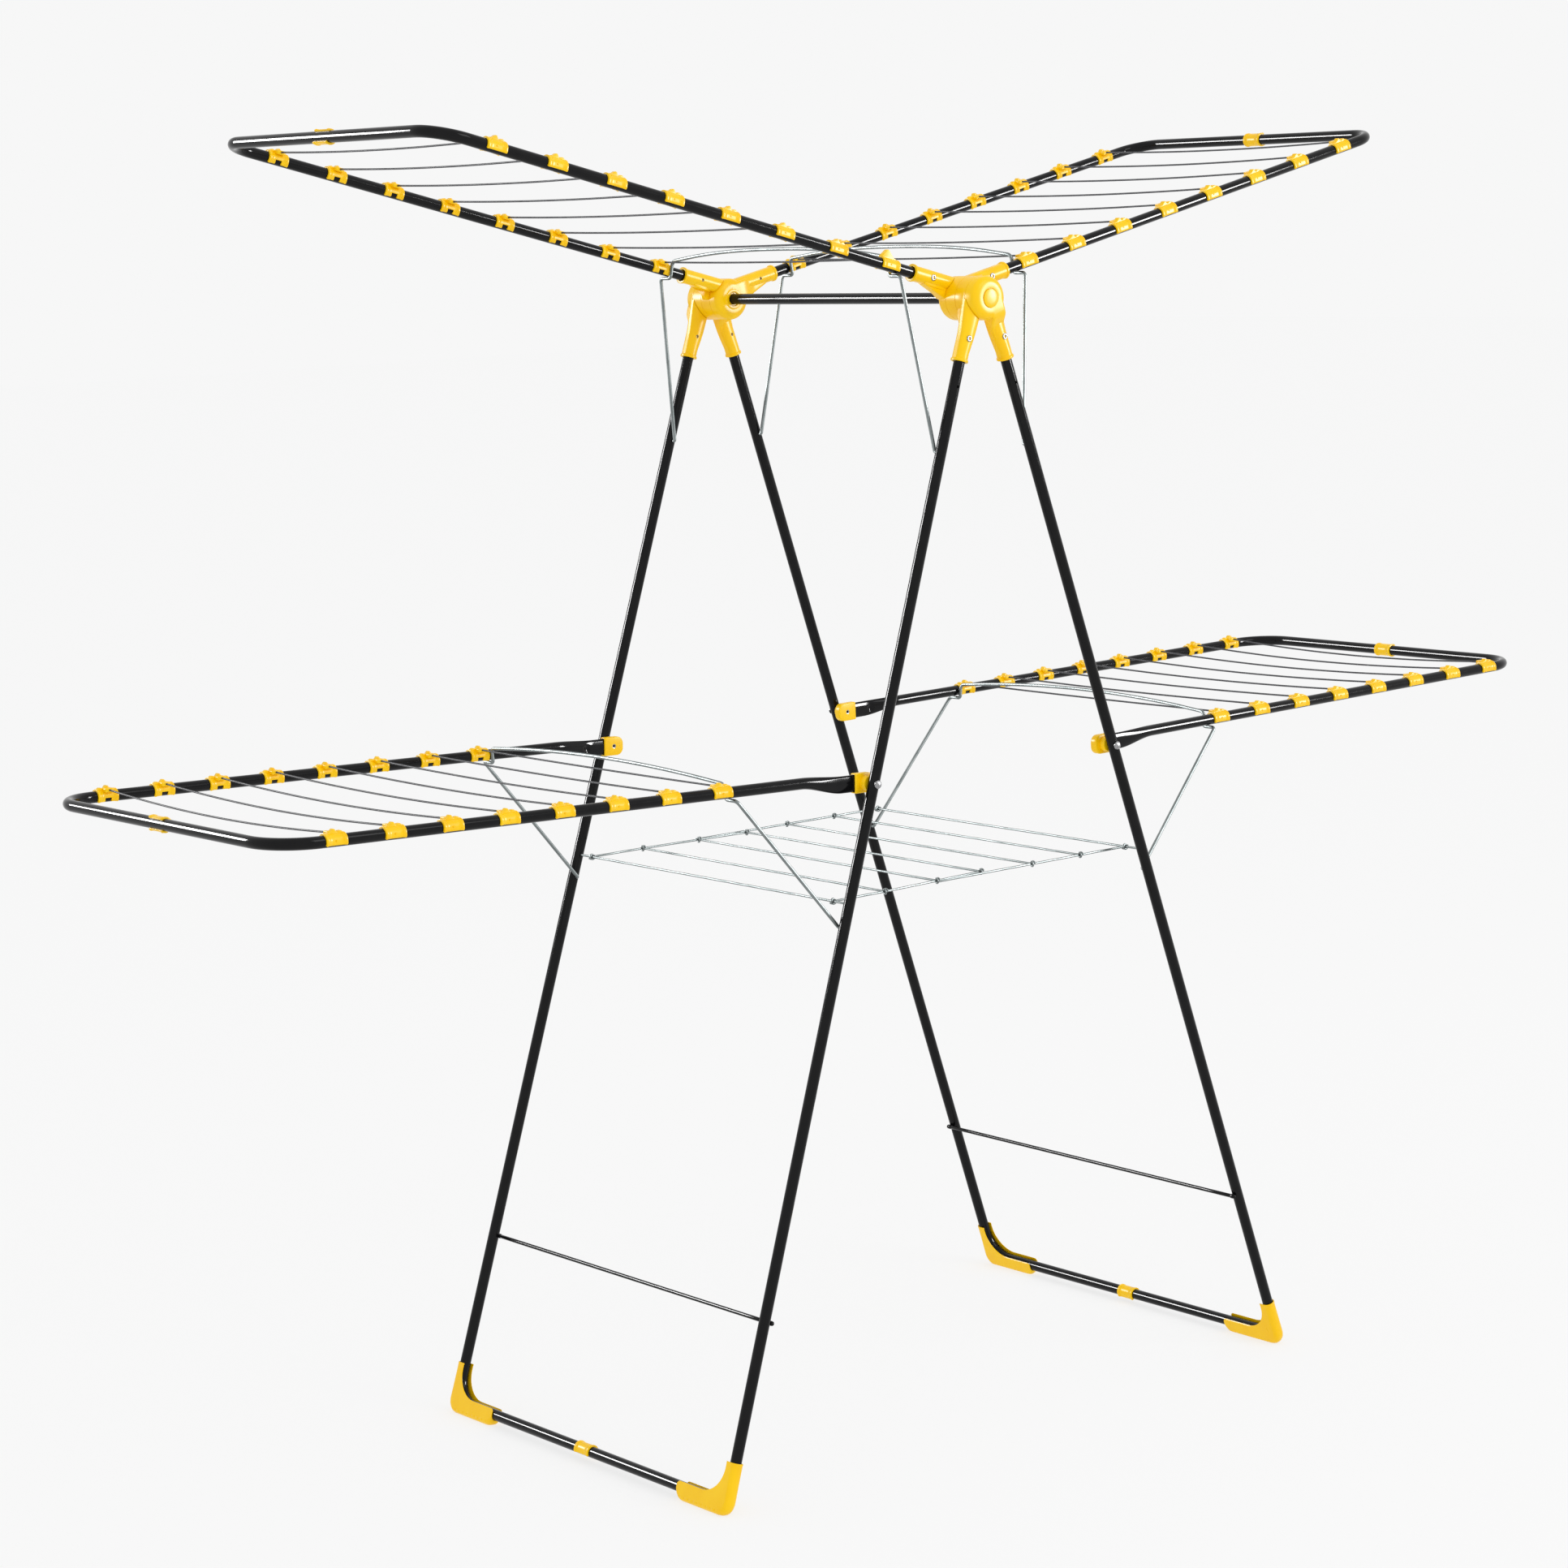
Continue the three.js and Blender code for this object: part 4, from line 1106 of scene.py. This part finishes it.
def shelf_half(side, side_wire, cross_wires):
    """Half the shelf: wires are given by (x, half width), the sides' from the pivot on."""
    node = f"{side}_shelf_half"
    low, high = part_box(node)
    pivot = JOINT_AT[f"{side}_shelf_fold"]
    z = pivot.z
    path = Path([(pivot.x, low.y, z), (pivot.x, high.y, z)], 0, spacing=0.06)
    parts = [wire("pivot", path, SHELF_R)]
    for end in ENDS:
        sign = SIGN[end]
        route = [(x, sign * y, z) for x, y in side_wire]
        parts.append(wire("side", Path(route, 0, spacing=0.05), SHELF_R))
        corner = (pivot.x, sign * side_wire[0][1], z)
        parts.append(curl(corner, (0, 1, 0), WOUND_R, 1.6, 5 * MM))
        for x, y in cross_wires:
            parts.append(curl((x, sign * y, z), (1, 0, 0), WOUND_R, 1.3, 4.4 * MM, math.pi * 0.2))
    for x, y in cross_wires:
        path = Path([(x, -y, z), (x, y, z)], 0, spacing=0.06)
        parts.append(wire("cross", path, CROSS_R))
    settle(join(f"{side}_shelf_wires", parts), node, "bright_wire")


# ---------- the rack
CLIP = line_clip(False)
TALL_CLIP = line_clip(True)
BAR_CLIP = saddle("bar_clip", BAR_CLIP_LENGTH, -40, 220)
for side in SIDES:
    leg_tube(side)
    cross_rod(side)
    upper_tube(side)
    lower_tube(side)
    stay(side, "upper")
    stay(side, "lower")
    wing_lines(side, "upper")
    wing_lines(side, "lower")
    foot_bar = leg_at(side, LEG_LENGTH)
    bar_clip(f"{side}_leg_bar_saddle", f"{side}_leg_bar_clip", foot_bar, LEG[side])
    for level, slopes in WINGS.items():
        plane = slopes[side]
        bar_clip(f"{side}_{level}_wing_bar_saddle", f"{side}_{level}_wing_bar_clip",
                 plane.at(plane.reach), plane)
    for end in ENDS:
        foot_shoe(side, end)
        pivot_cap(side, end)
        pivot_rivet(side, end)
        for kind in ("leg", "wing"):
            hub_socket(side, kind, end)
            hub_rivet(side, kind, end)
for end in ENDS:
    hub_end_cap(end)
axle()
for prototype in (CLIP, TALL_CLIP, BAR_CLIP):
    bpy.data.objects.remove(prototype, do_unlink=True)

# The left half narrows towards the middle, to pass inside the right one.
left_pivot = (JOINT_AT["left_shelf_fold"].x, 243.5 * MM)
left_tip = (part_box("left_shelf_half")[1].x - SHELF_R, 233 * MM)
left_wires = in_metres([(-163.6, 243.2), (-73.5, 238)]) + [left_tip]
shelf_half("left", [left_pivot] + left_wires, left_wires)
right_y = 243 * MM
right_pivot = (JOINT_AT["right_shelf_fold"].x, right_y)
right_tip = (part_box("right_shelf_half")[0].x, right_y)
shelf_half("right", [right_pivot, right_tip], [(167.4 * MM, right_y), (83.4 * MM, right_y)])


# ---------- studio
FLOOR_HALF = 30
FLOOR_Z = -0.8 * MM
FLOOR_GREY = 0.22
FLOOR_GLOW = 0.722  # lifts the floor to near white and keeps the shadows faint
WORLD_STRENGTH = 0.93
CAMERA_AZIMUTH = math.radians(-39.3)
CAMERA_ELEVATION = math.radians(8.75)
CAMERA_ROLL = -0.035
CAMERA_LENS = 86.9
CAMERA_AT = (-3.1391, -3.6908, HUB.z + 0.1249)


def stage_floor():
    mesh = bpy.data.meshes.new("floor")
    corners = [(-1, -1), (1, -1), (1, 1), (-1, 1)]
    mesh.from_pydata([(x * FLOOR_HALF, y * FLOOR_HALF, FLOOR_Z) for x, y in corners],
                     [], [(0, 1, 2, 3)])
    floor = bpy.data.objects.new("floor", mesh)
    bpy.context.scene.collection.objects.link(floor)
    material, nodes, links, shader = node_material("pale_floor")
    shader.inputs["Base Color"].default_value = (FLOOR_GREY, FLOOR_GREY, FLOOR_GREY, 1)
    shader.inputs["Roughness"].default_value = 1
    shader.inputs["Specular IOR Level"].default_value = 0
    shader.inputs["Emission Color"].default_value = (1, 1, 1, 1)
    shader.inputs["Emission Strength"].default_value = FLOOR_GLOW
    mesh.materials.append(material)


def area_light(name, location, target, size, power, gloss_only=False):
    """A light out of the camera's sight. gloss_only lights reflections and nothing else."""
    light = bpy.data.lights.new(name, "AREA")
    light.shape = "RECTANGLE"
    light.size, light.size_y = size
    light.energy = power
    obj = bpy.data.objects.new(name, light)
    bpy.context.scene.collection.objects.link(obj)
    obj.location = location
    obj.rotation_mode = "QUATERNION"
    obj.rotation_quaternion = (Vector(target) - Vector(location)).to_track_quat("-Z", "Y")
    obj.visible_camera = False
    obj.visible_diffuse = not gloss_only


def studio():
    bpy.context.scene.view_settings.view_transform = "Standard"
    world = bpy.data.worlds.new("studio")
    bpy.context.scene.world = world
    world.use_nodes = True
    background = world.node_tree.nodes["Background"]
    background.inputs["Color"].default_value = (1, 1, 1, 1)
    background.inputs["Strength"].default_value = WORLD_STRENGTH
    stage_floor()
    area_light("key", (1.5, -4.5, 4.5), (0, 0, 0.8), (2.5, 2.5), 60)
    area_light("right_strip", (3.1, -3.15, 1.85), (0, 0, 1.2), (0.8, 1.3), 240, True)
    area_light("left_strip", (-2.8, 3.4, 2.2), (0, 0, 1.2), (0.9, 1.2), 230, True)


def camera():
    """From the left front, a little above the axle and turned a little about its own axis."""
    sin_a, cos_a = math.sin(CAMERA_AZIMUTH), math.cos(CAMERA_AZIMUTH)
    cos_e = math.cos(CAMERA_ELEVATION)
    back = Vector((sin_a * cos_e, -cos_a * cos_e, math.sin(CAMERA_ELEVATION)))
    level = Vector((cos_a, sin_a, 0))
    upright = back.cross(level)
    right = level * math.cos(CAMERA_ROLL) + upright * math.sin(CAMERA_ROLL)
    up = upright * math.cos(CAMERA_ROLL) - level * math.sin(CAMERA_ROLL)
    data = bpy.data.cameras.new("camera")
    data.sensor_width = 36
    data.lens = CAMERA_LENS
    obj = bpy.data.objects.new("camera", data)
    bpy.context.scene.collection.objects.link(obj)
    obj.matrix_world = Matrix((
        (right.x, up.x, back.x, CAMERA_AT[0]),
        (right.y, up.y, back.y, CAMERA_AT[1]),
        (right.z, up.z, back.z, CAMERA_AT[2]),
        (0, 0, 0, 1),
    ))
    bpy.context.scene.camera = obj


studio()
camera()
